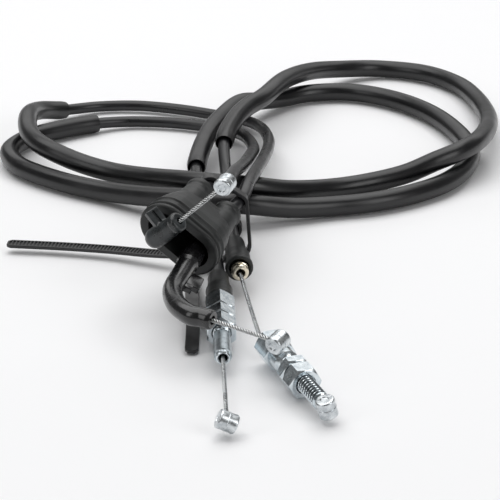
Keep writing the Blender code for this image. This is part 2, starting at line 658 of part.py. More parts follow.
make_wire("pull_wire_end", [pull_centre - pull_way * (PULL_WIRE_REACH + PULL_WIRE_DEPTH),
                            pull_centre - pull_way * FIT_GAP])

# Open ferrule and loose adjuster, return cable
open_frame = aim_matrix(scaled(OPEN_FERRULE), Vector(OPEN_AIM))
open_end_frame = open_frame @ Matrix.Translation((0.0, 0.0, -OPEN_FERRULE_NOSE))
open_empty = frame_empty("return_casing_end", open_end_frame)
make_open_ferrule("return_ferrule", open_empty, OPEN_FERRULE_NOSE, OPEN_FERRULE_FLANGE)
make_cap("return_cap", open_empty, OPEN_FERRULE_NOSE - CAP_SET_BACK, -FERRULE_SEAT)
loose_frame = aim_matrix(scaled(LOOSE_HEAD), Vector(LOOSE_AIM))
loose_empty = frame_empty("loose_frame", loose_frame)
neck = LOOSE_NECK_DIAMETER / 2
neck_end = HEX_LENGTH + LOOSE_NECK_LENGTH
loose_end = neck_end + LOOSE_SHANK
make_adjuster("loose_adjuster", loose_empty, [
    (neck, HEX_LENGTH - 1.0 * MM), (neck, neck_end - 1.0 * MM), (shank, neck_end), (shank, loose_end)])
loose_inner = neck_end + LOOSE_INNER_NUT_AT
make_nut("loose_inner_nut", loose_empty, loose_inner, THIN_NUT)
make_nut("loose_outer_nut", loose_empty, loose_inner + THIN_NUT + LOOSE_NUT_GAP, THICK_NUT)
loose_way = Vector(LOOSE_AIM).normalized()
return_centre = in_world(loose_frame, (0.0, 0.0, loose_end + NIPPLE_GAP + NIPPLE_DIAMETER / 2))
return_axle = Vector((0.3, 0.0, -0.95))
make_nipple("return_carb_nipple", return_centre, loose_way,
            return_axle - loose_way * return_axle.dot(loose_way))
wire_join = in_world(loose_frame, (0.0, 0.0, loose_end - RETURN_WIRE_DEPTH))
make_wire("return_wire_end", [wire_join, return_centre - loose_way * FIT_GAP])
open_way = Vector(OPEN_AIM).normalized()
ferrule_tip = scaled(OPEN_FERRULE)
span = [ferrule_tip - open_way * (OPEN_FERRULE_NOSE - 2 * FIT_GAP), ferrule_tip + open_way * SPAN_LEAD / 4,
        in_world(loose_frame, (0.0, 0.0, -SPAN_LEAD)), in_world(loose_frame, (0.0, 0.0, SPAN_LEAD)),
        wire_join - loose_way * FIT_GAP]
make_wire("return_wire_span", spaced(smooth_route([tuple(p) for p in span]), WIRE_STEP))

# Casings and sleeves
grip_end = PIPE_INSET + FIT_GAP + FERRULE_NOSE + FIT_GAP
lines = {}
for label, side, loose, end_frame, sleeve_span in (
    ("pull", pull_side, PULL_LOOSE, pull_end_frame, PULL_SLEEVE_SPAN),
    ("return", return_side, RETURN_LOOSE, open_end_frame, RETURN_SLEEVE_SPAN),
):
    head = [in_world(boot_frame, (side, 0.0, at))
            for at in (grip_end, (grip_end + BOOT_LENGTH) / 2, BOOT_LENGTH)]
    tail = [in_world(end_frame, (0.0, 0.0, -at)) for at in (STRAIGHT_END, STRAIGHT_END / 2, 0.0)]
    knots = [tuple(p) for p in head] + [tuple(scaled(p)) for p in loose] + [tuple(p) for p in tail]
    fine = smooth_route(knots)
    bends = fine[2 * ROUTE_FINENESS:len(fine) - 2 * ROUTE_FINENESS]
    line = np.array([*head[:2], *spaced(bends, ROUTE_STEP), *tail[1:]])
    lines[label] = line
    keep(tube(label + "_casing", line, CASING_DIAMETER / 2, CASING_RESOLUTION), casing_skin)
    nearest = [int(np.argmin(np.linalg.norm(line - np.array(scaled(loose[round(at)])), axis=1))) for at in sleeve_span]
    covered = line[nearest[0]:nearest[1] + 1]
    sleeve = frozen(tube(label + "_sleeve", covered, SLEEVE_DIAMETER / 2, SLEEVE_RESOLUTION, False))
    shell = sleeve.modifiers.new("wall", "SOLIDIFY")
    shell.thickness = SLEEVE_WALL
    shell.offset = -1.0
    keep(sleeve, sleeving)
    length = float(np.sum(np.linalg.norm(np.diff(line, axis=0), axis=1)))
    print(f"{label} casing length {length:.3f} m, sleeve {len(covered)} points of {len(line)}")


def least_gap(line):
    # Nearest approach of a tube to itself, away from its own neighbourhood
    fine = spaced(line, 3.0 * MM)
    skip = 12
    best = 1.0
    for at in range(0, len(fine) - skip):
        apart = np.linalg.norm(fine[at + skip:] - fine[at], axis=1).min()
        best = min(best, float(apart))
    return best


for label, line in lines.items():
    print(f"{label} cable least gap to itself {1000 * (least_gap(line) - CASING_DIAMETER):.2f} mm at the casing")

# Ties
make_tie("bundle_tie", BUNDLE_TAIL, BUNDLE_TAIL_LEAN, BUNDLE_LOOP_CENTRE, BUNDLE_LOOP, math.radians(204), 0.92)
make_tie("casing_tie", CASING_TAIL, CASING_TAIL_LEAN, CASING_LOOP_CENTRE, CASING_LOOP, math.radians(188), 0.9)
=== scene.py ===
# Tied pair of throttle cables: the looks of every piece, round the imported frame
import math

import bmesh
import bpy
import numpy as np
from mathutils import Matrix, Vector


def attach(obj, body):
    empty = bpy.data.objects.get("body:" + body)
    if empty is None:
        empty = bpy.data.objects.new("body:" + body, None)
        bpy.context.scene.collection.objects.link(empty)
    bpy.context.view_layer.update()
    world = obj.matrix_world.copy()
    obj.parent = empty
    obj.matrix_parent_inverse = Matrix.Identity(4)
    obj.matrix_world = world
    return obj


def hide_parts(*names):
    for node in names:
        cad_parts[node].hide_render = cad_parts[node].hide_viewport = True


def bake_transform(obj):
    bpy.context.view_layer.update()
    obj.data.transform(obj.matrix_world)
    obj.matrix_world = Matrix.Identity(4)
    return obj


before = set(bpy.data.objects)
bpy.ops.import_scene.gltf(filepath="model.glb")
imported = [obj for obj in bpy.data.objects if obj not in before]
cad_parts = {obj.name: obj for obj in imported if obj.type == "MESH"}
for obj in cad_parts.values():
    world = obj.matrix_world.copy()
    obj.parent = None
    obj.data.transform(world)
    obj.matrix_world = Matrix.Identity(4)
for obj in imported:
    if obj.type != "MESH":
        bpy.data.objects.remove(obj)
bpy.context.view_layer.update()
mm = 0.001

# Places below are in millimetres, and this shift centres the set over the frame's origin
layoutShift = Vector((0.08, 6.21, 0.24))


def placed(point):
    return (Vector(point) + layoutShift) * mm


def pointIn(place, level, side=0.0):
    # A point of a piece's own frame, this far along its axis and this far to its side
    return place @ Vector((side * mm, 0.0, level * mm))


def aimMatrix(point, direction, side=(0.0, 0.0, 1.0)):
    # Local +Z along direction, local +X as near to side as it can be
    up = Vector(direction).normalized()
    across = Vector(side) - up * Vector(side).dot(up)
    across.normalize()
    turn = Matrix((across, up.cross(across), up)).transposed()
    return Matrix.Translation(point) @ turn.to_4x4()


def linear(code):
    # sRGB hex to linear RGBA
    channels = [int(code[at:at + 2], 16) / 255 for at in (1, 3, 5)]
    return (*[c / 12.92 if c <= 0.04045 else ((c + 0.055) / 1.055) ** 2.4 for c in channels], 1.0)


def perMm(size):
    # Texture scale whose features are about this many millimetres
    return 1.0 / (size * mm)


def addNode(tree, kind, values=None, links=None):
    # Keys that start with a dot are the node's own settings, the others are input sockets
    node = tree.nodes.new(kind)
    for key, value in (values or {}).items():
        if isinstance(key, str) and key.startswith("."):
            setattr(node, key[1:], value)
        else:
            node.inputs[key].default_value = value
    for key, source in (links or {}).items():
        tree.links.new(source, node.inputs[key])
    return node


def newMaterial(name, settings):
    made = bpy.data.materials.new(name)
    made.use_nodes = True
    tree = made.node_tree
    shader = tree.nodes["Principled BSDF"]
    for key, value in settings.items():
        shader.inputs[key].default_value = value
    where = addNode(tree, "ShaderNodeTexCoord").outputs["Object"]
    return made, tree, shader, where


def colourMottle(tree, shader, where, dark, light, size, low=0.35, high=0.7):
    # Slow change between two colours, in patches of about this size
    patches = addNode(tree, "ShaderNodeTexNoise", {"Scale": perMm(size), "Detail": 5.0, "Roughness": 0.6},
                      {"Vector": where})
    spread = addNode(tree, "ShaderNodeMapRange", {"From Min": low, "From Max": high},
                     {"Value": patches.outputs["Fac"]})
    blend = addNode(tree, "ShaderNodeMix", {".data_type": "RGBA", 6: linear(dark), 7: linear(light)},
                    {0: spread.outputs["Result"]})
    tree.links.new(blend.outputs[2], shader.inputs["Base Color"])
    return spread.outputs["Result"]


def roughBetween(tree, shader, driver, low, high):
    span = addNode(tree, "ShaderNodeMapRange", {"To Min": low, "To Max": high}, {"Value": driver})
    tree.links.new(span.outputs["Result"], shader.inputs["Roughness"])


def grainBump(tree, shader, where, size, detail, strength, depth, under=None, harsh=0.5):
    # Relief with features of about this size and this depth, both in millimetres
    noise = {"Scale": perMm(size), "Detail": detail, "Roughness": harsh}
    links = {"Height": addNode(tree, "ShaderNodeTexNoise", noise, {"Vector": where}).outputs["Fac"]}
    if under is not None:
        links["Normal"] = under
    bump = addNode(tree, "ShaderNodeBump", {"Strength": strength, "Distance": depth * mm}, links)
    tree.links.new(bump.outputs["Normal"], shader.inputs["Normal"])
    return bump.outputs["Normal"]


def mouldedRubber():
    # EPDM moulded in a spark-eroded tool: dull black, a broad soft sheen, fine grain and a faint grey bloom.
    # The grain is drawn coarser than real so that it shows
    made, tree, shader, where = newMaterial("mouldedEpdmRubber", {"IOR": 1.5, "Specular IOR Level": 0.42})
    bloom = colourMottle(tree, shader, where, "#1b1c1c", "#2e3030", 7.0)
    roughBetween(tree, shader, bloom, 0.40, 0.56)
    grainBump(tree, shader, where, 0.45, 3.0, 0.16, 0.05)
    return made


def vinylSleeving():
    # Extruded plasticised PVC: satin black skin, slow waves from the die, and light handling marks.
    # Its fine grain is drawn coarser than real so that it shows
    skin = {"IOR": 1.53, "Specular IOR Level": 0.5}
    made, tree, shader, where = newMaterial("extrudedVinylSleeving", skin)
    marks = colourMottle(tree, shader, where, "#08080a", "#121214", 14.0)
    roughBetween(tree, shader, marks, 0.29, 0.39)
    under = grainBump(tree, shader, where, 5.0, 2.0, 0.08, 0.12)
    grainBump(tree, shader, where, 0.5, 4.0, 0.12, 0.03, under)
    return made


def casingSkin():
    # Polyethylene skin over a wound steel casing: semi-gloss, and faintly uneven from the winding under it
    made, tree, shader, where = newMaterial("casingPolyethylene", {"IOR": 1.51, "Specular IOR Level": 0.5})
    marks = colourMottle(tree, shader, where, "#101011", "#1d1d20", 9.0)
    roughBetween(tree, shader, marks, 0.26, 0.40)
    grainBump(tree, shader, where, 1.2, 4.0, 0.2, 0.05)
    return made


def mouldedNylon(name, dark, light, low, high):
    # Injection-moulded nylon: black or worn grey-black, with a low, slightly patchy sheen.
    # Its grain is drawn coarser than real so that it shows
    made, tree, shader, where = newMaterial(name, {"IOR": 1.53, "Specular IOR Level": 0.5})
    flow = colourMottle(tree, shader, where, dark, light, 4.0)
    roughBetween(tree, shader, flow, low, high)
    grainBump(tree, shader, where, 0.35, 3.0, 0.12, 0.03)
    return made


def blackPipePaint():
    # Steel tube dipped in thick black plastic: glossy, with a soft orange-peel and small scuffs
    coating = {"IOR": 1.52, "Coat Weight": 0.35, "Coat Roughness": 0.16}
    made, tree, shader, where = newMaterial("dippedBlackSteel", coating)
    scuffs = colourMottle(tree, shader, where, "#0a0a0b", "#1c1c1f", 3.0, 0.45, 0.75)
    roughBetween(tree, shader, scuffs, 0.20, 0.36)
    grainBump(tree, shader, where, 1.6, 2.0, 0.3, 0.08)
    return made


def brightZinc(name, dark, light, low, high, grit):
    # Turned steel with clear zinc plate: cool and bright, with fine tool lines and cloudy patches.
    # The lines are drawn coarser than real so that they show
    made, tree, shader, where = newMaterial(name, {"Metallic": 1.0})
    clouds = colourMottle(tree, shader, where, dark, light, 2.2, 0.3, 0.7)
    roughBetween(tree, shader, clouds, low, high)
    grainBump(tree, shader, where, grit, 5.0, 0.12, 0.05, harsh=0.65)
    return made


def strandedSteel(name, dark, light):
    # Drawn galvanised wire with a film of oil: grey, with the laid strands as real geometry.
    # The marks of the drawing die are made coarser than real so that they show
    made, tree, shader, where = newMaterial(name, {"Metallic": 1.0})
    oil = colourMottle(tree, shader, where, dark, light, 6.0)
    roughBetween(tree, shader, oil, 0.22, 0.38)
    grainBump(tree, shader, where, 0.3, 2.0, 0.15, 0.02)
    return made


rubberFinish = mouldedRubber()
sleeveFinish = vinylSleeving()
casingFinish = casingSkin()
tieFinish = mouldedNylon("tieNylon", "#0b0b0c", "#17171a", 0.30, 0.44)
elbowFinish = mouldedNylon("elbowNylon", "#1e2122", "#34383a", 0.24, 0.36)
pipeFinish = blackPipePaint()
# Darker zinc that paints the shade in the thread grooves
threadGrooveShadeFinish = brightZinc("paintedShadeThreadRoot", "#3f464b", "#6d757a", 0.30, 0.45, 0.4)
tubeFinish = brightZinc("drawnZincTube", "#8d979d", "#c9d1d5", 0.26, 0.40, 0.6)
zincFinish = brightZinc("turnedBrightZinc", "#bcc6cc", "#eaf0f3", 0.15, 0.26, 0.5)
nippleFinish = brightZinc("castZinc", "#a9afb3", "#e8ecee", 0.20, 0.36, 0.7)
ferruleFinish = brightZinc("paleYellowZinc", "#cfc5ae", "#f4eddc", 0.16, 0.28, 0.5)
wireFinish = strandedSteel("oiledSteelStrand", "#9a9d9f", "#d6d9da")
# Dark finish that paints shade on the wire core and in the gaps between the strands
gapShadeFinish = strandedSteel("paintedShadeWireCore", "#191817", "#2c2a28")
brightWireFinish = strandedSteel("dryGalvanisedStrand", "#c9cbcb", "#f4f5f5")
print("materials ready")


def smoothRoute(points, steps=16):
    # Catmull-Rom curve through the points
    line = [np.array(point, float) for point in points]
    line = [2 * line[0] - line[1], *line, 2 * line[-1] - line[-2]]
    fine = []
    for at in range(1, len(line) - 2):
        before, start, end, after = line[at - 1:at + 3]
        for share in np.linspace(0.0, 1.0, steps, endpoint=False):
            bend = (2 * before - 5 * start + 4 * end - after) * share ** 2
            swing = (3 * start - before - 3 * end + after) * share ** 3
            fine.append(0.5 * (2 * start + (end - before) * share + bend + swing))
    fine.append(line[-2])
    return np.array(fine)


def spaced(line, step):
    along = np.concatenate([[0.0], np.cumsum(np.linalg.norm(np.diff(line, axis=0), axis=1))])
    count = max(2, math.ceil(along[-1] / step) + 1)
    at = np.linspace(0.0, along[-1], count)
    return np.stack([np.interp(at, along, line[:, axis]) for axis in range(3)], axis=1)


def lengthOf(line):
    return float(np.sum(np.linalg.norm(np.diff(line, axis=0), axis=1)))


def framesAlong(path, lean=None):
    # A side and an up direction at each point: carried along without twist, or held to a lean
    ahead = np.gradient(path, axis=0)
    ahead /= np.linalg.norm(ahead, axis=1)[:, None]
    anySide = (0.31, 0.17, 0.94)  # no route starts along this
    side = np.array(lean or anySide, float)
    sides = []
    for at in range(len(path)):
        if lean is not None:
            side = np.array(lean, float)
        side = side - ahead[at] * side.dot(ahead[at])
        side /= np.linalg.norm(side)
        sides.append(side)
    sides = np.array(sides)
    return sides, np.cross(ahead, sides)


def circleRings(path, radii, count):
    side, up = framesAlong(path)
    radii = np.broadcast_to(radii, len(path))
    angles = np.linspace(0.0, 2 * math.pi, count, endpoint=False)
    return [path[at] + radii[at] * (np.cos(angles)[:, None] * side[at] + np.sin(angles)[:, None] * up[at])
            for at in range(len(path))]


def turnedRings(profile, count):
    # One ring for each (radius, height); either may be a function of the angle
    angles = np.linspace(0.0, 2 * math.pi, count, endpoint=False)
    rings = []
    for radius, height in profile:
        reach = radius(angles) if callable(radius) else np.full(count, radius)
        level = height(angles) if callable(height) else np.full(count, height)
        rings.append(np.stack([reach * np.cos(angles), reach * np.sin(angles), level], axis=1))
    return rings


def inMm(outline):
    # An outline typed in millimetres, as metres
    return [(radius * mm, height * mm) for radius, height in outline]


def movedRings(rings, matrix):
    return [np.array([matrix @ Vector(point) for point in ring]) for ring in rings]


def sideways(rings, side):
    # Rings moved along X by this many millimetres
    return [ring + np.array((side * mm, 0.0, 0.0)) for ring in rings]


def domedEnd(radius):
    # A rounded end as (radius, height) pairs, from near its tip up to level zero
    return [(radius * math.cos(angle), -radius * math.sin(angle)) for angle in np.linspace(1.45, 0.0, 8)]


def linkObject(name, data):
    made = bpy.data.objects.new(name, data)
    bpy.context.scene.collection.objects.link(made)
    return made


def meshPiece(name, shells, matrix=None, sharp=32.0):
    # Shells are lists of rings: "caps" closes the two ends, "loop" joins the last ring to the first
    form = bmesh.new()
    for rings, ends in shells:
        made = [[form.verts.new(point) for point in ring] for ring in rings]
        count = len(made[0])
        pairs = list(zip(made, made[1:]))
        if ends == "loop":
            pairs.append((made[-1], made[0]))
        for first, second in pairs:
            for at in range(count):
                after = (at + 1) % count
                form.faces.new((first[at], first[after], second[after], second[at]))
        if ends == "caps":
            form.faces.new(made[0])
            form.faces.new(made[-1])
    if matrix is not None:
        bmesh.ops.transform(form, matrix=matrix, verts=form.verts)
    bmesh.ops.recalc_face_normals(form, faces=form.faces)
    mesh = bpy.data.meshes.new(name)
    form.to_mesh(mesh)
    form.free()
    mesh.shade_smooth()
    mesh.set_sharp_from_angle(angle=math.radians(sharp))
    return linkObject(name, mesh)


def blockShell(size, matrix):
    # A box as two square rings
    x, y, z = Vector(size) / 2
    corners = [(-x, -y), (x, -y), (x, y), (-x, y)]
    rings = [np.array([(a, b, level) for a, b in corners]) for level in (-z, z)]
    return movedRings(rings, matrix), "caps"


def bakeShape(piece, sharp=None):
    # Modifiers become the mesh itself
    bpy.context.view_layer.update()
    graph = bpy.context.evaluated_depsgraph_get()
    mesh = bpy.data.meshes.new_from_object(piece.evaluated_get(graph))
    piece.modifiers.clear()
    piece.data = mesh
    mesh.shade_smooth()
    if sharp is not None:
        mesh.set_sharp_from_angle(angle=math.radians(sharp))


def cutAway(piece, cutters, sharp):
    for cutter in cutters:
        cut = piece.modifiers.new("cut", "BOOLEAN")
        cut.operation = "DIFFERENCE"
        cut.object = cutter
    bakeShape(piece, sharp)
    for cutter in cutters:
        bpy.data.objects.remove(cutter, do_unlink=True)


def soften(piece, voxel, passes):
    # One skin round joined shells, with moulded fillets
    skin = piece.modifiers.new("skin", "REMESH")
    skin.mode = "VOXEL"
    skin.voxel_size = voxel
    calm = piece.modifiers.new("calm", "SMOOTH")
    calm.factor = 0.5
    calm.iterations = passes
    bakeShape(piece)


def roundEdges(piece, width, segments=3):
    edge = piece.modifiers.new("edge", "BEVEL")
    edge.width = width
    edge.segments = segments
    edge.limit_method = "ANGLE"
    edge.angle_limit = math.radians(35)
    bakeShape(piece, sharp=40.0)


def dress(piece, finish, body, nodes):
    # Its finish, the body it rides on, and the CAD nodes it stands for
    piece.data.materials.clear()
    piece.data.materials.append(finish)
    if body is not None:
        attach(piece, body)
    if nodes:
        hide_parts(*nodes)


# The camera stands where the photograph was taken from; the image is square
camera = {
    "at": (-2.0, -736.0, 280.0), "tilt": 68.0, "focalPixels": 1943.0, "imagePixels": 500.0, "sensor": 36.0,
    "clipStart": 10.0,
}
eye = bpy.data.cameras.new("photoCamera")
eye.sensor_fit = "HORIZONTAL"
eye.sensor_width = camera["sensor"]
eye.lens = camera["focalPixels"] / camera["imagePixels"] * camera["sensor"]
eye.clip_start = camera["clipStart"] * mm
eyeObject = linkObject("photoCamera", eye)
eyeObject.location = placed(camera["at"])
eyeObject.rotation_euler = (math.radians(camera["tilt"]), 0.0, 0.0)
bpy.context.scene.camera = eyeObject

# Pale floor, a dim white surround and four soft boxes; these sizes and places are in metres
studio = {"floor": "#f6f6f7", "roughness": 0.75, "floorSize": 6.0, "floorLevel": -0.0001, "world": 0.16}
lights = [
    {"name": "topSoftbox", "at": (-0.15, 0.35, 1.35), "aim": (0.0, 0.0, 0.0), "size": (2.1, 1.5),
     "power": 21.5},
    {"name": "leftSoftbox", "at": (-1.05, -0.75, 0.7), "aim": (0.0, -0.05, 0.02), "size": (0.5, 0.9),
     "power": 2.6},
    {"name": "rightFill", "at": (0.95, -0.8, 0.6), "aim": (0.0, -0.08, 0.02), "size": (0.6, 0.9),
     "power": 4.6},
    {"name": "backSoftbox", "at": (0.1, 1.5, 0.75), "aim": (0.0, 0.0, 0.0), "size": (2.4, 0.7),
     "power": 5.0},
]
floorForm = bmesh.new()
bmesh.ops.create_grid(floorForm, x_segments=1, y_segments=1, size=studio["floorSize"] / 2)
floorMesh = bpy.data.meshes.new("paleFloor")
floorForm.to_mesh(floorMesh)
floorForm.free()
floor = linkObject("paleFloor", floorMesh)
floor.location.z = studio["floorLevel"]
floorFinish = {"Roughness": studio["roughness"], "Base Color": linear(studio["floor"])}
floorMesh.materials.append(newMaterial("paleFloorPaint", floorFinish)[0])

world = bpy.data.worlds.new("softStudio")
world.use_nodes = True
surround = world.node_tree.nodes["Background"]
surround.inputs["Color"].default_value = (1.0, 1.0, 1.0, 1.0)
surround.inputs["Strength"].default_value = studio["world"]
bpy.context.scene.world = world
bpy.context.scene.view_settings.view_transform = "Standard"
for lamp in lights:
    data = bpy.data.lights.new(lamp["name"], "AREA")
    data.shape = "RECTANGLE"
    data.size = lamp["size"][0]
    data.size_y = lamp["size"][1]
    data.energy = lamp["power"]
    softbox = linkObject(lamp["name"], data)
    softbox.location = lamp["at"]
    softbox.rotation_euler = (Vector(lamp["aim"]) - Vector(lamp["at"])).to_track_quat("-Z", "Y").to_euler()
print("studio ready")

# Frames of the boot and of the two carburettor ends
boot = {
    "lowerLip": (-15.67, -102.59, 17.25), "axis": (0.36, 0.92, 0.13), "long": (0.72, -0.32, -0.61),
    "length": 32.0, "mouthSize": (30.4, 17.0), "mouthOffset": -0.9, "waistSize": (22.5, 9.6),
    "waistAt": 24.0, "wall": 1.9, "lipWall": 2.6, "spacing": 13.0, "bore": 5.2, "boreFrom": 13.0,
}
lipShift = (-boot["mouthSize"][0] / 2 - boot["mouthOffset"]) * mm
lipFrame = aimMatrix(placed(boot["lowerLip"]), boot["axis"], boot["long"])
bootFrame = lipFrame @ Matrix.Translation((lipShift, 0.0, 0.0))
pullSide = -boot["spacing"] / 2
returnSide = boot["spacing"] / 2
seated = {
    "head": (-12.6, -111.0, 7.4), "aim": (0.04, -0.9987, -0.03), "hexFlats": 10.0, "hexLength": 10.0,
    "socket": (6.9, 7.5), "shank": 6.0, "shankLength": 31.5, "tip": (5.0, 1.6), "wireBore": 3.0,
    "pitch": 1.0, "nutsAt": (10.4, 17.5), "nutThickness": 6.5, "undercut": (5.5, 1.0), "threadFrom": 11.2,
    "threadTo": 27.0, "threadDepth": 0.55, "plainReach": (2.4, 3.2), "wireReach": 43.0, "wireDepth": 17.0,
    "casingEnd": 3.3, "nippleAxle": (0.9, 0.0, -0.42),
}
seatedFrame = aimMatrix(placed(seated["head"]), seated["aim"])
loose = {
    "head": (4.5, -143.2, 6.65), "aim": (0.366, -0.93, -0.03), "hexFlats": 10.0, "hexLength": 10.0,
    "socket": (6.9, 7.5), "neck": (8.6, 6.5), "shank": 6.0, "shankLength": 28.0, "wireBore": 3.0,
    "pitch": 1.5, "threadDepth": 0.6, "thinNut": (20.0, 4.0), "thickNut": (25.0, 6.5), "hexTurn": 30.0,
    "leadIn": 0.5, "wireLevels": (-10.0, -4.0, 6.0), "wireDepth": 34.0, "nippleGap": 0.5,
    "nippleAxle": (0.3, 0.0, -0.95),
}
looseFrame = aimMatrix(placed(loose["head"]), loose["aim"])
looseTurned = looseFrame @ Matrix.Rotation(math.radians(loose["hexTurn"]), 4, "Z")
openEnd = {
    "tip": (-5.4, -88.0, 9.0), "aim": (0.1, -0.992, -0.07), "nose": 8.0, "wireGap": 0.6, "wireStraight": 1.5,
}
openFrame = aimMatrix(placed(openEnd["tip"]), openEnd["aim"])
openCasingFrame = openFrame @ Matrix.Translation((0.0, 0.0, -openEnd["nose"] * mm))
pullCasingFrame = seatedFrame @ Matrix.Translation((0.0, 0.0, seated["casingEnd"] * mm))

# Routes in millimetres, from the boot to the carburettor end
cables = {
    "casing": 5.0, "sleeve": 8.3, "sleeveWall": 0.95, "step": 2.5, "gripEnd": 10.1, "gripMiddle": 21.05,
    "straightEnd": 30.0, "rim": 0.3,
}
pullLoose = [
    (-11, -56, 33), (-8, -36, 29.5), (-4.5, -12, 24), (-1.5, 15, 19), (-0.5, 36.5, 14), (-2.5, 60.5, 9.5),
    (-6.5, 79, 6), (-13, 93, 3.5), (-22.5, 99, 3), (-38.5, 104, 3), (-56.5, 105.5, 3), (-72, 99.5, 4),
    (-87, 89.5, 4.5), (-99, 78.5, 4.5), (-106, 61, 4.5), (-101.5, 44, 4.5), (-92, 32, 4.5), (-76.5, 19, 4.5),
    (-59.5, 8, 5), (-42.5, -4, 7.5), (-28, -13, 10), (-16.5, -18, 10.5), (-2, -18.5, 9.5), (14, -13, 6),
    (30, -7.5, 4.5), (46.5, -3, 4.5), (63, 6, 4.5), (78.5, 20, 4.5), (89, 39, 4.5), (93.5, 63, 4.5),
    (88.5, 92.5, 4.5), (78.5, 117, 4.5), (63.5, 135.5, 4.5), (45.5, 145.5, 4.5), (26.5, 144, 4.5),
    (12, 134.5, 4.7), (1.5, 120.5, 8), (-6.5, 107.5, 11.2), (-13.5, 91, 11), (-20.5, 67, 9.5),
    (-24.5, 31, 7), (-21.5, 8, 3.4), (-19, -14, 2.9), (-16.8, -38, 4.5), (-15.2, -62, 7.4),
]
returnLoose = [
    (-5.2, -60, 27.4), (-2.2, -40, 27.0), (1, -15, 23.5), (3.5, 9.5, 19), (5.5, 35.5, 14), (6, 62, 9.5),
    (3, 87.5, 6), (-4.5, 106, 3.5), (-17.5, 115, 3), (-34.5, 123.5, 3), (-53.5, 129, 3), (-72, 128, 3),
    (-87.5, 118, 4.5), (-97, 102, 9.5), (-99.5, 80.5, 14), (-97.5, 60, 14.2), (-92.5, 46, 13.6),
    (-84, 37, 12), (-72, 31, 9), (-58, 24, 7.5), (-43, 12.5, 9.5), (-28, -2, 13.5), (-16.5, -9.5, 15),
    (-2, -10, 14), (14, -1, 9), (31, 12, 5), (47.5, 20, 4.6), (62.5, 24, 7), (75, 27, 11.5), (86, 33, 14),
    (94, 45, 14), (101, 68, 11.5), (105, 97, 8), (104, 130, 5.5), (98, 157, 4.5), (83.5, 176, 4.5),
    (62, 184, 4.5), (42, 175, 7), (26.5, 153, 12.5), (14, 124.5, 17), (4, 95, 18), (-4, 80, 17.5),
    (-9.5, 66, 15.5), (-13, 50, 12), (-12, 28, 6), (-10.3, 4, 3), (-9, -14, 2.8), (-8.6, -28, 3.8),
    (-8.6, -40, 8),
]
# Places in these lists where each sleeve starts and ends
pullSleeveSpan = (11, 40)
returnSleeveSpan = (12, 43)


def casingRoute(side, laid, endFrame):
    headLevels = (cables["gripEnd"], cables["gripMiddle"], boot["length"])
    head = [pointIn(bootFrame, level, side) for level in headLevels]
    tail = [pointIn(endFrame, -share * cables["straightEnd"]) for share in (1.0, 0.5, 0.0)]
    return spaced(smoothRoute([*head, *map(placed, laid), *tail]), cables["step"] * mm)


def casingCurve(name, route):
    curve = bpy.data.curves.new(name, "CURVE")
    curve.dimensions = "3D"
    curve.bevel_depth = cables["casing"] / 2 * mm
    curve.bevel_resolution = 6
    curve.use_fill_caps = True
    curve.twist_mode = "MINIMUM"
    spline = curve.splines.new("POLY")
    spline.points.add(len(route) - 1)
    spline.use_smooth = True
    for spot, point in zip(spline.points, route):
        spot.co = (*point, 1.0)
    return linkObject(name, curve)


def hollowSleeve(name, route, laid, span):
    # Tubing slipped over the casing: both walls, and soft cut rims
    ends = [int(np.argmin(np.linalg.norm(route - np.array(placed(laid[at])), axis=1))) for at in span]
    path = route[ends[0]:ends[1] + 1]
    outer = cables["sleeve"] / 2 * mm
    inner = outer - cables["sleeveWall"] * mm
    rim = cables["rim"] * mm
    outerRadii = np.full(len(path), outer)
    outerRadii[[0, -1]] -= rim
    innerRadii = np.full(len(path), inner)
    innerRadii[[0, -1]] += rim
    walls = circleRings(path, outerRadii, count=36) + circleRings(path, innerRadii, count=36)[::-1]
    return meshPiece(name, [(walls, "loop")], sharp=60.0)


pullRoute = casingRoute(pullSide, pullLoose, pullCasingFrame)
returnRoute = casingRoute(returnSide, returnLoose, openCasingFrame)
pullCasing = casingCurve("pullCasing", pullRoute)
returnCasing = casingCurve("returnCasing", returnRoute)
pullSleeve = hollowSleeve("pullSleeve", pullRoute, pullLoose, pullSleeveSpan)
returnSleeve = hollowSleeve("returnSleeve", returnRoute, returnLoose, returnSleeveSpan)
dress(pullCasing, casingFinish, "cables", ["pull_casing"])
dress(returnCasing, casingFinish, "cables", ["return_casing"])
dress(pullSleeve, sleeveFinish, "cables", ["pull_sleeve"])
dress(returnSleeve, sleeveFinish, "cables", ["return_sleeve"])
print("casings and sleeves", round(lengthOf(pullRoute), 3), round(lengthOf(returnRoute), 3))


def racetrack(size, level, offset=0.0, steps=16):
    # A stadium in the XY plane, long along X and moved along it by the offset
    radius = size[1] / 2
    reach = size[0] / 2 - radius
    points = []
    for side, start in ((reach, -math.pi / 2), (-reach, math.pi / 2)):
        for step in range(steps + 1):
            angle = start + math.pi * step / steps
            points.append((offset + side + radius * math.cos(angle), radius * math.sin(angle), level))
    return np.array(points) * mm


def grown(size, by):
    return (size[0] + 2 * by, size[1] + 2 * by)


def between(first, second, share):
    return tuple(a + (b - a) * share for a, b in zip(first, second))


# Boot: rim with a grooved double lip, flanks that bulge over the two cables, and a nozzle for each
bootShape = {
    "rim": [(0.0, 0.2), (0.5, 0.8), (1.5, 0.8), (1.9, 0.0), (2.5, 0.0), (2.9, 0.9), (3.7, 0.9), (4.2, 0.1),
            (6.2, 0.15), (6.5, 0.75), (7.1, 0.75), (7.4, 0.2)],
    "flank": [(0.2, 0.22, 0.7), (0.42, 0.46, 0.8), (0.66, 0.74, 0.5), (0.88, 0.96, 0.0)],
    "nozzleCone": (11.6, 9.8), "nozzleLevels": (12.0, 16.0, 20.0, 25.0, 27.5), "collar": (0.45, 2.2),
    "cavityLevels": (-1.0, 3.0, 13.5), "overcut": 1.0, "voxel": 0.3, "passes": 2,
}
rimRings = [racetrack(grown(boot["mouthSize"], proud), level, boot["mouthOffset"])
            for level, proud in bootShape["rim"]]
flankFrom = bootShape["rim"][-1][0]
flankRings = []
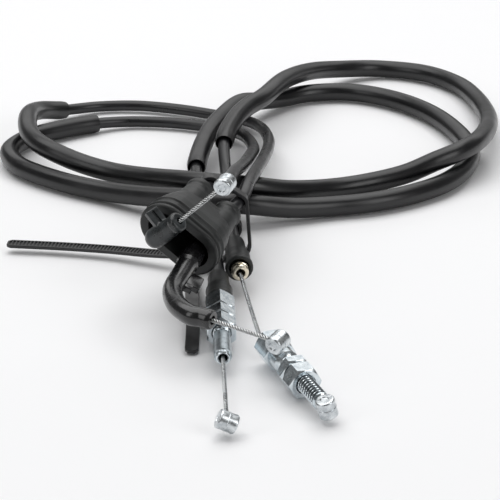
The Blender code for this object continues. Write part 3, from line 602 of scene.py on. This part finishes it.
for share, taper, proud in bootShape["flank"]:
    level = flankFrom + (boot["waistAt"] - flankFrom) * share
    size = grown(between(boot["mouthSize"], boot["waistSize"], taper), proud)
    flankRings.append(racetrack(size, level, boot["mouthOffset"] * (1.0 - taper)))
waistRing = racetrack(boot["waistSize"], boot["waistAt"])
wide, slim = (diameter / 2 for diameter in bootShape["nozzleCone"])
proud, collarLength = bootShape["collar"]
top = boot["length"]
hidden, shoulder, widest, throat, slimFrom = bootShape["nozzleLevels"]
nozzleOutline = [
    (wide * 0.6, hidden), (wide * 0.95, shoulder), (wide, widest), (slim + 0.5, throat), (slim, slimFrom),
    (slim, top - collarLength - 0.5), (slim + proud, top - collarLength), (slim + proud, top - 0.4),
    (slim + proud - 0.35, top),
]
nozzleRings = turnedRings(inMm(nozzleOutline), count=40)
shells = [(rimRings + flankRings + [waistRing], "caps")]
shells += [(sideways(nozzleRings, side), "caps") for side in (pullSide, returnSide)]
bootPiece = meshPiece("rubberBoot", shells)
floorAt = boot["waistAt"] - 2 * boot["wall"]
middleSize = between(boot["mouthSize"], boot["waistSize"], 0.5)
outside, lipInside, middleAt = bootShape["cavityLevels"]
cavitySections = [
    (boot["mouthSize"], boot["lipWall"], outside, 1.0), (boot["mouthSize"], boot["lipWall"], lipInside, 1.0),
    (middleSize, boot["wall"], middleAt, 0.5), (boot["waistSize"], boot["wall"] / 2, floorAt, 0.0),
]
cavityRings = [racetrack(grown(size, -wall), level, boot["mouthOffset"] * share)
               for size, wall, level, share in cavitySections]
cavity = meshPiece("bootCavity", [(cavityRings, "caps")])
boreEnds = (boot["boreFrom"], boot["length"] + bootShape["overcut"])
boreRings = turnedRings(inMm([(boot["bore"] / 2, level) for level in boreEnds]), count=32)
bores = [meshPiece("bore", [(sideways(boreRings, side), "caps")]) for side in (pullSide, returnSide)]
soften(bootPiece, bootShape["voxel"] * mm, bootShape["passes"])
cutAway(bootPiece, [cavity, *bores], sharp=40.0)
bootPiece.data.transform(bootFrame)
dress(bootPiece, rubberFinish, "cables", ["rubber_boot"])
print("boot", len(bootPiece.data.polygons))

# Elbow: inlet leg, exit leg with a domed back, and the flat locating tab with its grooves
elbow = {
    "corner": (-35.0, -103.2, 29.0), "aim": (0.66, -0.4, 0.636), "diameter": 6.6, "dome": 7.6,
    "domeEnd": 4.0, "leg": 13.2, "inset": 7.0, "bead": (0.3, 2.4), "wireAim": (0.66, -0.33, 0.675),
    "hole": 2.6, "holeReach": 4.0, "tabAim": (-0.62, 0.42, 0.66), "tabSide": (0.7, 0.6, 0.3),
    "tab": (5.0, 2.2, 9.0), "tabAt": 5.8, "groove": (1.1, 0.6), "grooveShare": 0.6, "grooveAtShare": 0.62,
    "voxel": 0.24, "passes": 2,
}
turn = bootFrame.to_3x3().inverted()
exitWay = turn @ Vector(elbow["aim"]).normalized()
corner = bootFrame.inverted() @ placed(elbow["corner"])
radius = elbow["diameter"] / 2
inletRings = turnedRings(inMm([(radius, -radius / 2), (radius, elbow["inset"])]), count=40)
neckEntry = Vector((pullSide * mm, 0.0, 0.0))
neckOutline = domedEnd(radius * mm) + [(radius * mm, (neckEntry - corner).length)]
neckMatrix = aimMatrix(corner, neckEntry - corner, exitWay)
leg = elbow["leg"]
dome = elbow["dome"] / 2
beadProud, beadAt = elbow["bead"]
legOutline = domedEnd(dome) + [
    (dome, elbow["domeEnd"]), (radius, leg - beadAt - 0.5), (radius + beadProud, leg - beadAt),
    (radius + beadProud, leg - 0.9), (radius - 0.1, leg - 0.25), (radius - 0.8, leg),
]
tabRoot = corner + exitWay * elbow["tabAt"] * mm
tabMatrix = aimMatrix(tabRoot, turn @ Vector(elbow["tabAim"]), turn @ Vector(elbow["tabSide"]))
tabSize = Vector(elbow["tab"]) * mm
elbowPiece = meshPiece("upperElbow", [
    (sideways(inletRings, pullSide), "caps"),
    (movedRings(turnedRings(neckOutline, count=40), neckMatrix), "caps"),
    (movedRings(turnedRings(inMm(legOutline), count=40), aimMatrix(corner, exitWay)), "caps"),
    blockShell(tabSize, tabMatrix @ Matrix.Translation((0.0, 0.0, tabSize.z / 2))),
])
soften(elbowPiece, elbow["voxel"] * mm, elbow["passes"])
mouth = corner + exitWay * leg * mm
pullGripAim = Vector(elbow["wireAim"]).normalized()
holeEnds = (-elbow["holeReach"], elbow["holeReach"])
holeRings = turnedRings(inMm([(elbow["hole"] / 2, level) for level in holeEnds]), count=24)
hole = meshPiece("elbowHole", [(holeRings, "caps")], aimMatrix(mouth, turn @ pullGripAim))
grooveWidth, grooveDepth = elbow["groove"]
grooveSize = (grooveWidth * mm, 2 * grooveDepth * mm, tabSize.z * elbow["grooveShare"])
grooves = []
for face in (-1.0, 1.0):
    middle = Matrix.Translation((0.0, face * tabSize.y / 2, tabSize.z * elbow["grooveAtShare"]))
    grooves.append(meshPiece("tabGroove", [blockShell(grooveSize, tabMatrix @ middle)]))
cutAway(elbowPiece, [hole, *grooves], sharp=40.0)
elbowPiece.data.transform(bootFrame)
dress(elbowPiece, elbowFinish, "cables", ["upper_elbow"])
pullExit = bootFrame @ mouth
print("elbow", len(elbowPiece.data.polygons))

# Bent pipe: dipped tube with a collar at the boot, a rolled tip and a stepped lug
pipe = {
    "laid": [(-26.2, -116.5, 20), (-28.4, -127, 19), (-26.6, -137.5, 18.4), (-21.9, -145, 18)],
    "tip": (-14.3, -148.6, 17.6), "aim": (0.89, -0.45, -0.05), "diameter": 7.0, "seat": 7.0, "lip": -2.0,
    "straightTip": 4.0, "step": 0.6, "tipRound": (1.2, 0.55), "hole": 1.6, "holeDepth": 5.0,
    "collar": 0.45, "collarEnd": 15.5, "collarRamp": 0.5, "lug": (5.5, 2.4, 8.0), "lugStep": (3.3, 2.4, 3.2),
    "lugStepShare": 0.6, "lugSide": (1.0, -0.25, -0.5), "lugOut": 2.6, "lugEdge": 0.45,
}
lugRoot = placed(pipe["laid"][0])
lugWay = placed(pipe["laid"][1]) - lugRoot
lugMatrix = aimMatrix(lugRoot, lugWay, pipe["lugSide"])
lugMatrix @= Matrix.Translation((pipe["lugOut"] * mm, 0.0, 0.0))
stepLevel = pipe["lug"][2] * pipe["lugStepShare"] * mm
for name, key, level in (("pipeLug", "lug", 0.0), ("pipeLugStep", "lugStep", stepLevel)):
    size = Vector(pipe[key]) * mm
    piece = meshPiece(name, [blockShell(size, lugMatrix @ Matrix.Translation((size.x / 2, 0.0, level)))])
    roundEdges(piece, pipe["lugEdge"] * mm)
    dress(piece, pipeFinish, "cables", [])
pipeAim = Vector(pipe["aim"]).normalized()
returnExit = placed(pipe["tip"])
pipeStart = pointIn(bootFrame, pipe["seat"], returnSide)
pipeLip = pointIn(bootFrame, pipe["lip"], returnSide)
pipeKnots = [pipeStart, (pipeStart + pipeLip) / 2, pipeLip, *map(placed, pipe["laid"]),
             returnExit - pipeAim * pipe["straightTip"] * mm, returnExit]
pipePath = spaced(smoothRoute(pipeKnots), pipe["step"] * mm)
along = np.linspace(0.0, lengthOf(pipePath), len(pipePath))
pipeRadii = np.full(len(pipePath), pipe["diameter"] / 2 * mm)
collarShare = np.clip((pipe["collarEnd"] * mm - along) / (pipe["collarRamp"] * mm), 0.0, 1.0)
pipeRadii += pipe["collar"] * mm * collarShare
fromTip = (along[-1] - along) / mm
roundLength, roundDepth = pipe["tipRound"]
pipeRadii -= np.where(fromTip < roundLength, roundDepth * (1.0 - fromTip / roundLength) ** 2, 0.0) * mm
wallRings = circleRings(pipePath, pipeRadii, count=40)
holeSteps = int(pipe["holeDepth"] / pipe["step"])
wallRings += circleRings(pipePath, pipe["hole"] * mm, count=40)[::-1][:holeSteps]
pipePiece = meshPiece("bentPipe", [(wallRings, "caps")], sharp=50.0)
dress(pipePiece, pipeFinish, "cables", ["bent_pipe"])
print("bent pipe", len(pipePiece.data.polygons))

# Laid wire: strands wound round a core, fewer and thicker than the real ones so that the twist shows
strand = {
    "wire": 1.5, "strands": 4, "lay": 4.4, "step": 0.25, "sides": 8, "thickness": 0.26, "coreGap": 0.12,
    "shadeReach": 0.62, "gripDepth": 3.0, "joinGap": 0.3,
}


def laidWire(name, points, finish, body, node):
    path = spaced(np.array(points, float), strand["step"] * mm)
    side, up = framesAlong(path)
    along = np.linspace(0.0, lengthOf(path), len(path))
    thick = strand["thickness"] * mm
    out = strand["wire"] / 2 * mm - thick
    shells = [(circleRings(path, out - strand["coreGap"] * mm, strand["sides"]), "caps")]
    for count in range(strand["strands"]):
        angle = 2 * math.pi * (count / strand["strands"] + along / (strand["lay"] * mm))
        wound = path + out * (np.cos(angle)[:, None] * side + np.sin(angle)[:, None] * up)
        shells.append((circleRings(wound, thick, strand["sides"]), "caps"))
    piece = meshPiece(name, shells, sharp=70.0)
    dress(piece, finish, body, [node])
    # Painted shade: the core, and the faces deep between the strands, take a darker finish for the shade in
    # the gaps
    piece.data.materials.append(gapShadeFinish)
    shellFaces = (len(path) - 1) * strand["sides"] + 2
    middles = (path[:-1] + path[1:]) / 2
    for face in piece.data.polygons:
        shell, place = divmod(face.index, shellFaces)
        middle = middles[min(place // strand["sides"], len(middles) - 1)]
        if shell == 0 or np.linalg.norm(np.array(face.center) - middle) < strand["shadeReach"] * mm:
            face.material_index = 1
    return piece


# Barrel nipples: cast across the wire, with rounded ends, a parting line and an ejector dimple
nipple = {
    "diameter": 6.4, "length": 6.4, "edge": 0.7, "dimple": (1.5, 0.35), "waist": 0.12,
    "waistLevels": (0.9, 0.35, 0.2), "hole": 1.9, "holeEnds": (-6.0, 0.3), "wireStop": 0.3, "heldWire": 4.0,
}


def barrelNipple(name, centre, wireWay, axle, body, node):
    half = nipple["length"] / 2
    reach = nipple["diameter"] / 2
    edge = nipple["edge"]
    dimpleRadius, dimpleDepth = nipple["dimple"]
    side = [(0.02, half - dimpleDepth), (dimpleRadius - 0.3, half - dimpleDepth), (dimpleRadius, half),
            (reach - edge - 0.2, half)]
    for angle in np.linspace(0.15, 1.57, 6):
        side.append((reach - edge + edge * math.sin(angle), half - edge + edge * math.cos(angle)))
    waistFrom, waistTo, ridge = nipple["waistLevels"]
    side += [(reach - nipple["waist"], waistFrom), (reach - nipple["waist"], waistTo), (reach, ridge)]
    outline = side + [(radius, -height) for radius, height in side[::-1]]
    across = Vector(axle) - wireWay * Vector(axle).dot(wireWay)
    rings = turnedRings(inMm(outline), count=64)
    barrel = meshPiece(name, [(rings, "caps")], aimMatrix(centre, across), sharp=38.0)
    holeRings = turnedRings(inMm([(nipple["hole"] / 2, level) for level in nipple["holeEnds"]]), count=24)
    cutter = meshPiece("nippleHole", [(holeRings, "caps")], aimMatrix(centre, wireWay))
    cutAway(barrel, [cutter], sharp=38.0)
    dress(barrel, nippleFinish, body, [node])


def wireStop(centre, way):
    # Where a wire ends inside its nipple
    return centre - way * nipple["wireStop"] * mm


gripEnds = [
    {"name": "pull", "exit": pullExit, "aim": tuple(pullGripAim), "reach": 24.0, "axle": (0.36, 0.93, 0.1)},
    {"name": "return", "exit": returnExit, "aim": (0.822, -0.568, -0.042), "reach": 26.0,
     "axle": (0.55, 0.8, 0.2)},
]
for end in gripEnds:
    way = Vector(end["aim"]).normalized()
    centre = end["exit"] + way * end["reach"] * mm
    body = end["name"] + "_grip_end"
    barrelNipple(end["name"] + "GripNipple", centre, way, end["axle"], body, end["name"] + "_grip_nipple")
    ends = [end["exit"] - way * strand["gripDepth"] * mm, wireStop(centre, way)]
    wire = laidWire(end["name"] + "GripWire", ends, brightWireFinish, None, end["name"] + "_grip_wire")
    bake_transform(wire)

pullWay = Vector(seated["aim"]).normalized()
seatedEnd = seated["hexLength"] + seated["shankLength"]
seatedTip = seatedEnd + seated["tip"][1]
pullTip = pointIn(seatedFrame, seatedTip)
pullCentre = pullTip + pullWay * seated["wireReach"] * mm
pullAxle = seated["nippleAxle"]
barrelNipple("pullCarbNipple", pullCentre, pullWay, pullAxle, "pull_carb_end", "pull_carb_nipple")
ends = [pullTip - pullWay * seated["wireDepth"] * mm, wireStop(pullCentre, pullWay)]
laidWire("pullWireEnd", ends, wireFinish, "pull_carb_end", "pull_wire_end")

looseWay = Vector(loose["aim"]).normalized()
neckEnd = loose["hexLength"] + loose["neck"][1]
looseEnd = neckEnd + loose["shankLength"]
returnCentre = pointIn(looseFrame, looseEnd + loose["nippleGap"] + nipple["diameter"] / 2)
returnAxle = loose["nippleAxle"]
barrelNipple("returnCarbNipple", returnCentre, looseWay, returnAxle, "return_carb_end", "return_carb_nipple")
wireJoin = pointIn(looseFrame, looseEnd - loose["wireDepth"])
ends = [wireJoin, wireStop(returnCentre, looseWay)]
laidWire("returnWireEnd", ends, wireFinish, "return_carb_end", "return_wire_end")
openWay = Vector(openEnd["aim"]).normalized()
openTip = placed(openEnd["tip"])
openReaches = (openEnd["wireGap"] - openEnd["nose"], openEnd["wireStraight"])
spanKnots = [openTip + openWay * reach * mm for reach in openReaches]
spanKnots += [pointIn(looseFrame, level) for level in loose["wireLevels"]]
spanKnots.append(wireJoin - looseWay * strand["joinGap"] * mm)
laidWire("returnWireSpan", smoothRoute(spanKnots), wireFinish, "cables", "return_wire_span")
print("wires and nipples ready")

# Hexagons: flats from the distance across them, corners turned down at 30 degrees
hexagon = {
    "samples": 96, "faceShare": 0.94, "chamferSlope": math.tan(math.radians(30)), "boreChamfer": 0.4,
    "nutFlats": 10.0, "nutBore": 6.16,
}
thread = {"steps": 9, "flank": 1.4, "crest": 0.2, "grooveShadeReach": (2.2, 2.8)}


def hexReach(flats):
    def reach(angles):
        return flats / 2 * mm / np.cos(angles % (math.pi / 3) - math.pi / 6)
    return reach


def hexSides(flats, low, high):
    # Face ring, turned corners and flats, from the low end to the high end
    face = flats / 2 * hexagon["faceShare"] * mm
    reach = hexReach(flats)
    def lowEdge(angles):
        return low * mm + (reach(angles) - face) * hexagon["chamferSlope"]
    def highEdge(angles):
        return high * mm - (reach(angles) - face) * hexagon["chamferSlope"]
    return [(face, low * mm), (reach, lowEdge), (reach, highEdge), (face, high * mm)]


def hexNut(name, place, low, thickness):
    high = low + thickness
    inner = hexagon["nutBore"] / 2
    edge = hexagon["boreChamfer"]
    outline = hexSides(hexagon["nutFlats"], low, high)
    outline += inMm([(inner + edge, high), (inner, high - edge), (inner, low + edge), (inner + edge, low)])
    return meshPiece(name, [(turnedRings(outline, hexagon["samples"]), "loop")], place, sharp=25.0)


def threadRings(radius, low, high, pitch, depth):
    # Helical grooves as rings whose reach changes round the turn; the groove fades in at both ends
    outline = []
    for level in np.arange(low, high + 1e-6, pitch / thread["steps"]):
        fade = min(1.0, (level - low) / pitch, (high - level) / pitch)
        def reach(angles, level=level, fade=fade):
            phase = (level / pitch - angles / (2 * math.pi)) % 1.0
            wave = 1.0 - np.abs(2 * phase - 1.0)
            groove = np.clip(wave * thread["flank"] - thread["crest"], 0.0, 1.0)
            return (radius - depth * fade * groove) * mm
        outline.append((reach, level * mm))
    return outline


def adjuster(name, place, shape, shank, tipOutline):
    # From the tip back along the shank, over the hexagon, into the socket and out through the bore
    socket = shape["socket"][0] / 2
    depth = shape["socket"][1]
    bore = shape["wireBore"] / 2
    edge = hexagon["boreChamfer"]
    back = hexSides(shape["hexFlats"], 0.0, shape["hexLength"])[::-1]
    inside = [(socket + edge, 0.0), (socket, edge), (socket, depth), (bore, depth),
              (bore, tipOutline[0][1] - edge)]
    outline = inMm(tipOutline) + shank + back + inMm(inside)
    return meshPiece(name, [(turnedRings(outline, hexagon["samples"]), "loop")], place, sharp=25.0)


def paintBand(piece, place, finish, levels, reaches):
    # Another finish on the faces between two levels and two distances from the axis
    piece.data.materials.append(finish)
    painted = len(piece.data.materials) - 1
    toLocal = place.inverted()
    for face in piece.data.polygons:
        middle = toLocal @ face.center
        reach = math.hypot(middle.x, middle.y) / mm
        if levels[0] < middle.z / mm < levels[1] and reaches[0] < reach < reaches[1]:
            face.material_index = painted


shankRadius = seated["shank"] / 2
slim = seated["tip"][0] / 2
threadSpan = (seated["threadFrom"], seated["threadTo"])
seatedThread = threadRings(shankRadius, *threadSpan, seated["pitch"], seated["threadDepth"])[::-1]
relief = seated["undercut"][0] / 2
reliefSpan = (seated["hexLength"] + seated["undercut"][1], seated["hexLength"])
seatedShank = inMm([(shankRadius, seatedEnd - 0.3)]) + seatedThread
seatedShank += inMm([(relief, level) for level in reliefSpan])
tipOutline = [(slim - 0.6, seatedTip), (slim - 0.3, seatedTip), (slim, seatedTip - 0.35),
              (slim, seatedEnd + 0.2), (slim + 0.1, seatedEnd)]
seatedPiece = adjuster("seatedAdjuster", seatedFrame, seated, seatedShank, tipOutline)
dress(seatedPiece, zincFinish, "seated_adjuster_body", ["seated_adjuster"])
# Painted shade in the thread grooves
paintBand(seatedPiece, seatedFrame, threadGrooveShadeFinish, threadSpan, thread["grooveShadeReach"])
paintBand(seatedPiece, seatedFrame, tubeFinish, (seated["threadTo"], seatedEnd), seated["plainReach"])
for name, low in zip(("inner", "outer"), seated["nutsAt"]):
    nut = hexNut("seated" + name.capitalize() + "Nut", seatedFrame, low, seated["nutThickness"])
    dress(nut, zincFinish, "seated_" + name + "_nut_body", ["seated_" + name + "_nut"])
neck = loose["neck"][0] / 2
shankRadius = loose["shank"] / 2
threadSpan = (neckEnd, looseEnd - loose["leadIn"])
looseThread = threadRings(shankRadius, *threadSpan, loose["pitch"], loose["threadDepth"])[::-1]
neckOutline = [(neck - 0.5, neckEnd - 0.6), (neck, neckEnd - 1.2), (neck, loose["hexLength"])]
looseShank = looseThread + inMm(neckOutline)
tipOutline = [(loose["wireBore"] / 2 + 0.3, looseEnd), (shankRadius - loose["threadDepth"], looseEnd)]
loosePiece = adjuster("looseAdjuster", looseTurned, loose, looseShank, tipOutline)
dress(loosePiece, zincFinish, "loose_adjuster_body", ["loose_adjuster"])
# Painted shade in the thread grooves
paintBand(loosePiece, looseFrame, threadGrooveShadeFinish, threadSpan, thread["grooveShadeReach"])
for name, key in (("inner", "thinNut"), ("outer", "thickNut")):
    nut = hexNut("loose" + name.capitalize() + "Nut", looseTurned, *loose[key])
    dress(nut, zincFinish, "loose_" + name + "_nut_body", ["loose_" + name + "_nut"])
print("adjusters and nuts ready")

# Rubber caps that slide on the casings, and the open ferrule
cap = {
    "length": 21.0, "back": 7.4, "lip": 10.2, "lipLength": 7.0, "bore": 5.7, "mouth": 7.5, "pullLip": -0.3,
    "returnShow": 4.0,
}


def rubberCap(name, place, lipAt):
    lip = cap["lip"] / 2
    slim = cap["back"] / 2
    mouth = cap["mouth"] / 2
    bore = cap["bore"] / 2
    back = lipAt - cap["length"]
    flare = lipAt - cap["lipLength"]
    outline = [
        (mouth, lipAt - 0.2), (mouth + 0.4, lipAt), (lip - 0.5, lipAt), (lip - 0.1, lipAt - 0.25),
        (lip, lipAt - 0.7), (lip, lipAt - 1.7), (lip - 0.15, lipAt - 2.1), (lip - 0.45, lipAt - 2.4),
        (lip - 0.4, flare + 1.2), (lip - 0.6, flare), (slim + 1.1, flare - 2.0), (slim + 0.5, flare - 4.0),
        (slim + 0.1, back + 3.0), (slim + 0.15, back + 1.2), (slim, back + 0.2), (slim - 0.4, back),
        (bore, back + 0.1), (bore, flare - 5.0), (mouth, flare - 3.5),
    ]
    return meshPiece(name, [(turnedRings(inMm(outline), count=48), "loop")], place, sharp=45.0)


pullCap = rubberCap("pullCap", seatedFrame, cap["pullLip"])
returnCap = rubberCap("returnCap", openCasingFrame, openEnd["nose"] - cap["returnShow"])
dress(pullCap, rubberFinish, "pull_cap_body", ["pull_cap"])
dress(returnCap, rubberFinish, "return_cap_body", ["return_cap"])
ferrule = {"outer": 6.2, "flange": 6.8, "bore": 3.0, "seat": 5.0, "casing": 5.2}
outer, flange, bore, casing = (ferrule[key] / 2 for key in ("outer", "flange", "bore", "casing"))
nose = openEnd["nose"]
ferruleOutline = [
    (bore, nose - 0.3), (bore + 0.3, nose), (outer - 0.6, nose), (outer - 0.15, nose - 0.25),
    (outer, nose - 0.7), (outer, nose - 2.0), (outer - 0.35, nose - 2.25), (outer - 0.35, nose - 2.9),
    (outer, nose - 3.15), (outer, 1.4), (flange, 1.2), (flange, 0.1), (outer, 0.0),
    (outer, -ferrule["seat"]), (casing, -ferrule["seat"]), (casing, 0.3), (bore, 0.3),
]
ferruleRings = turnedRings(inMm(ferruleOutline), count=64)
returnFerrule = meshPiece("returnFerrule", [(ferruleRings, "loop")], openCasingFrame, sharp=30.0)
dress(returnFerrule, ferruleFinish, "cables", ["return_ferrule"])
# The three hidden ferrules stay as the CAD has them
hiddenFerrules = {
    "pull_ferrule": ferruleFinish, "pull_grip_ferrule": zincFinish, "return_grip_ferrule": zincFinish,
}
for node, finish in hiddenFerrules.items():
    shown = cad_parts[node]
    shown.data.materials.clear()
    shown.data.materials.append(finish)
print("caps and ferrules ready")

# Cable ties: a smooth band, a tail with side rails, a ladder of teeth and a rounded end, and a block head
tie = {
    "width": 4.8, "thickness": 1.3, "edge": 0.2, "rail": 0.75, "toothDepth": 0.4, "toothPitch": 1.4,
    "tailTip": (0.35, 2.4), "head": (7.0, 5.6, 4.6), "headEdge": 0.8, "slack": 0.25, "step": 0.35,
    "loopSteps": 120,
}
ties = [
    {"name": "bundleTie", "node": "bundle_tie", "centre": (-12.4, -63.0, 20.6), "loop": (10.8, 19.0),
     "start": 204.0, "endReach": 5.0, "share": 0.92, "lean": (0.0, 1.0, 0.12),
     "tail": [(-95, -44, 3.0), (-75, -46.5, 3.0), (-55, -51, 3.4), (-40, -57, 4.4), (-29, -61.2, 5.6)]},
    {"name": "casingTie", "node": "casing_tie", "centre": (-12.2, -46.0, 8.3), "loop": (9.6, 7.4),
     "start": 188.0, "endReach": 2.5, "share": 0.9, "lean": (1.0, 0.0, 0.0),
     "tail": [(-21.8, -138, 1.2), (-21.8, -124, 2.0), (-22.2, -108, 2.4), (-23.0, -92, 2.0),
              (-23.4, -76, 1.3), (-23.6, -63, 1.1), (-22.6, -53, 2.6)]},
]


def bandRings(path, lean, toothed):
    # A flat section at each step; the floor between the rails rises at each tooth
    side, up = framesAlong(path, lean)
    along = np.linspace(0.0, lengthOf(path), len(path)) / mm
    thick = tie["thickness"] / 2
    edge = tie["edge"]
    tipShare, tipLength = tie["tailTip"]
    rings = []
    for at in range(len(path)):
        wide = tie["width"] / 2 * math.sqrt(min(1.0, tipShare + along[at] / tipLength))
        rail = wide - tie["rail"]
        gap = toothed and (along[at] / tie["toothPitch"]) % 1.0 >= 0.5
        railFloor = thick - tie["toothDepth"] if gap else thick
        right = [(wide - edge, -thick), (wide, -thick + edge), (wide, thick - edge), (wide - edge, thick),
                 (rail, thick), (rail, railFloor)]
        section = right + [(-across, level) for across, level in right[::-1]]
        rings.append(np.array([path[at] + (a * side[at] + b * up[at]) * mm for a, b in section]))
    return rings


def bandRound(middle, loop, start, share, endReach):
    # The shortest band round the casings that cross the tie's plane inside its loop
    circles = []
    for route, lastReach in ((pullRoute, cables["casing"] / 2), (returnRoute, endReach)):
        crossings = np.flatnonzero(np.diff(np.sign(route[:, 1] - middle.y)))
        for at in crossings:
            away = np.abs(route[at] - np.array(middle)) / mm
            reach = lastReach if at == crossings[-1] else cables["casing"] / 2
            if away[0] < loop[0] and away[2] < loop[1]:
                circles.append((route[at], (reach + tie["thickness"] / 2 + tie["slack"]) * mm))
    path = []
    for angle in math.radians(start) + 2 * math.pi * share * np.linspace(0.0, 1.0, tie["loopSteps"]):
        out = np.array((math.cos(angle), 0.0, math.sin(angle)))
        centre, reach = max(circles, key=lambda circle: circle[0].dot(out) + circle[1])
        path.append((centre[0] + reach * out[0], middle.y, centre[2] + reach * out[2]))
    return np.array(path)


for one in ties:
    middle = placed(one["centre"])
    loopPath = bandRound(middle, one["loop"], one["start"], one["share"], one["endReach"])
    tailPath = smoothRoute([*map(placed, one["tail"]), loopPath[0]])
    band = bandRings(spaced(loopPath, tie["step"] * mm), (0.0, 1.0, 0.0), toothed=False)
    tail = bandRings(spaced(tailPath, tie["step"] * mm), one["lean"], toothed=True)
    tiePiece = meshPiece(one["name"], [(band, "caps"), (tail, "caps")], sharp=35.0)
    dress(tiePiece, tieFinish, "cables", [one["node"]])
    startAngle = math.radians(one["start"])
    outward = Vector((math.cos(startAngle), 0.0, math.sin(startAngle)))
    headAt = Vector(loopPath[0]) + outward * (tie["head"][1] - tie["thickness"]) / 2 * mm
    headMatrix = aimMatrix(headAt, Vector(loopPath[1]) - Vector(loopPath[0]), (0.0, 1.0, 0.0))
    head = meshPiece(one["name"] + "Head", [blockShell(Vector(tie["head"]) * mm, headMatrix)])
    roundEdges(head, tie["headEdge"] * mm, segments=4)
    dress(head, tieFinish, "cables", [])
print("ties ready")
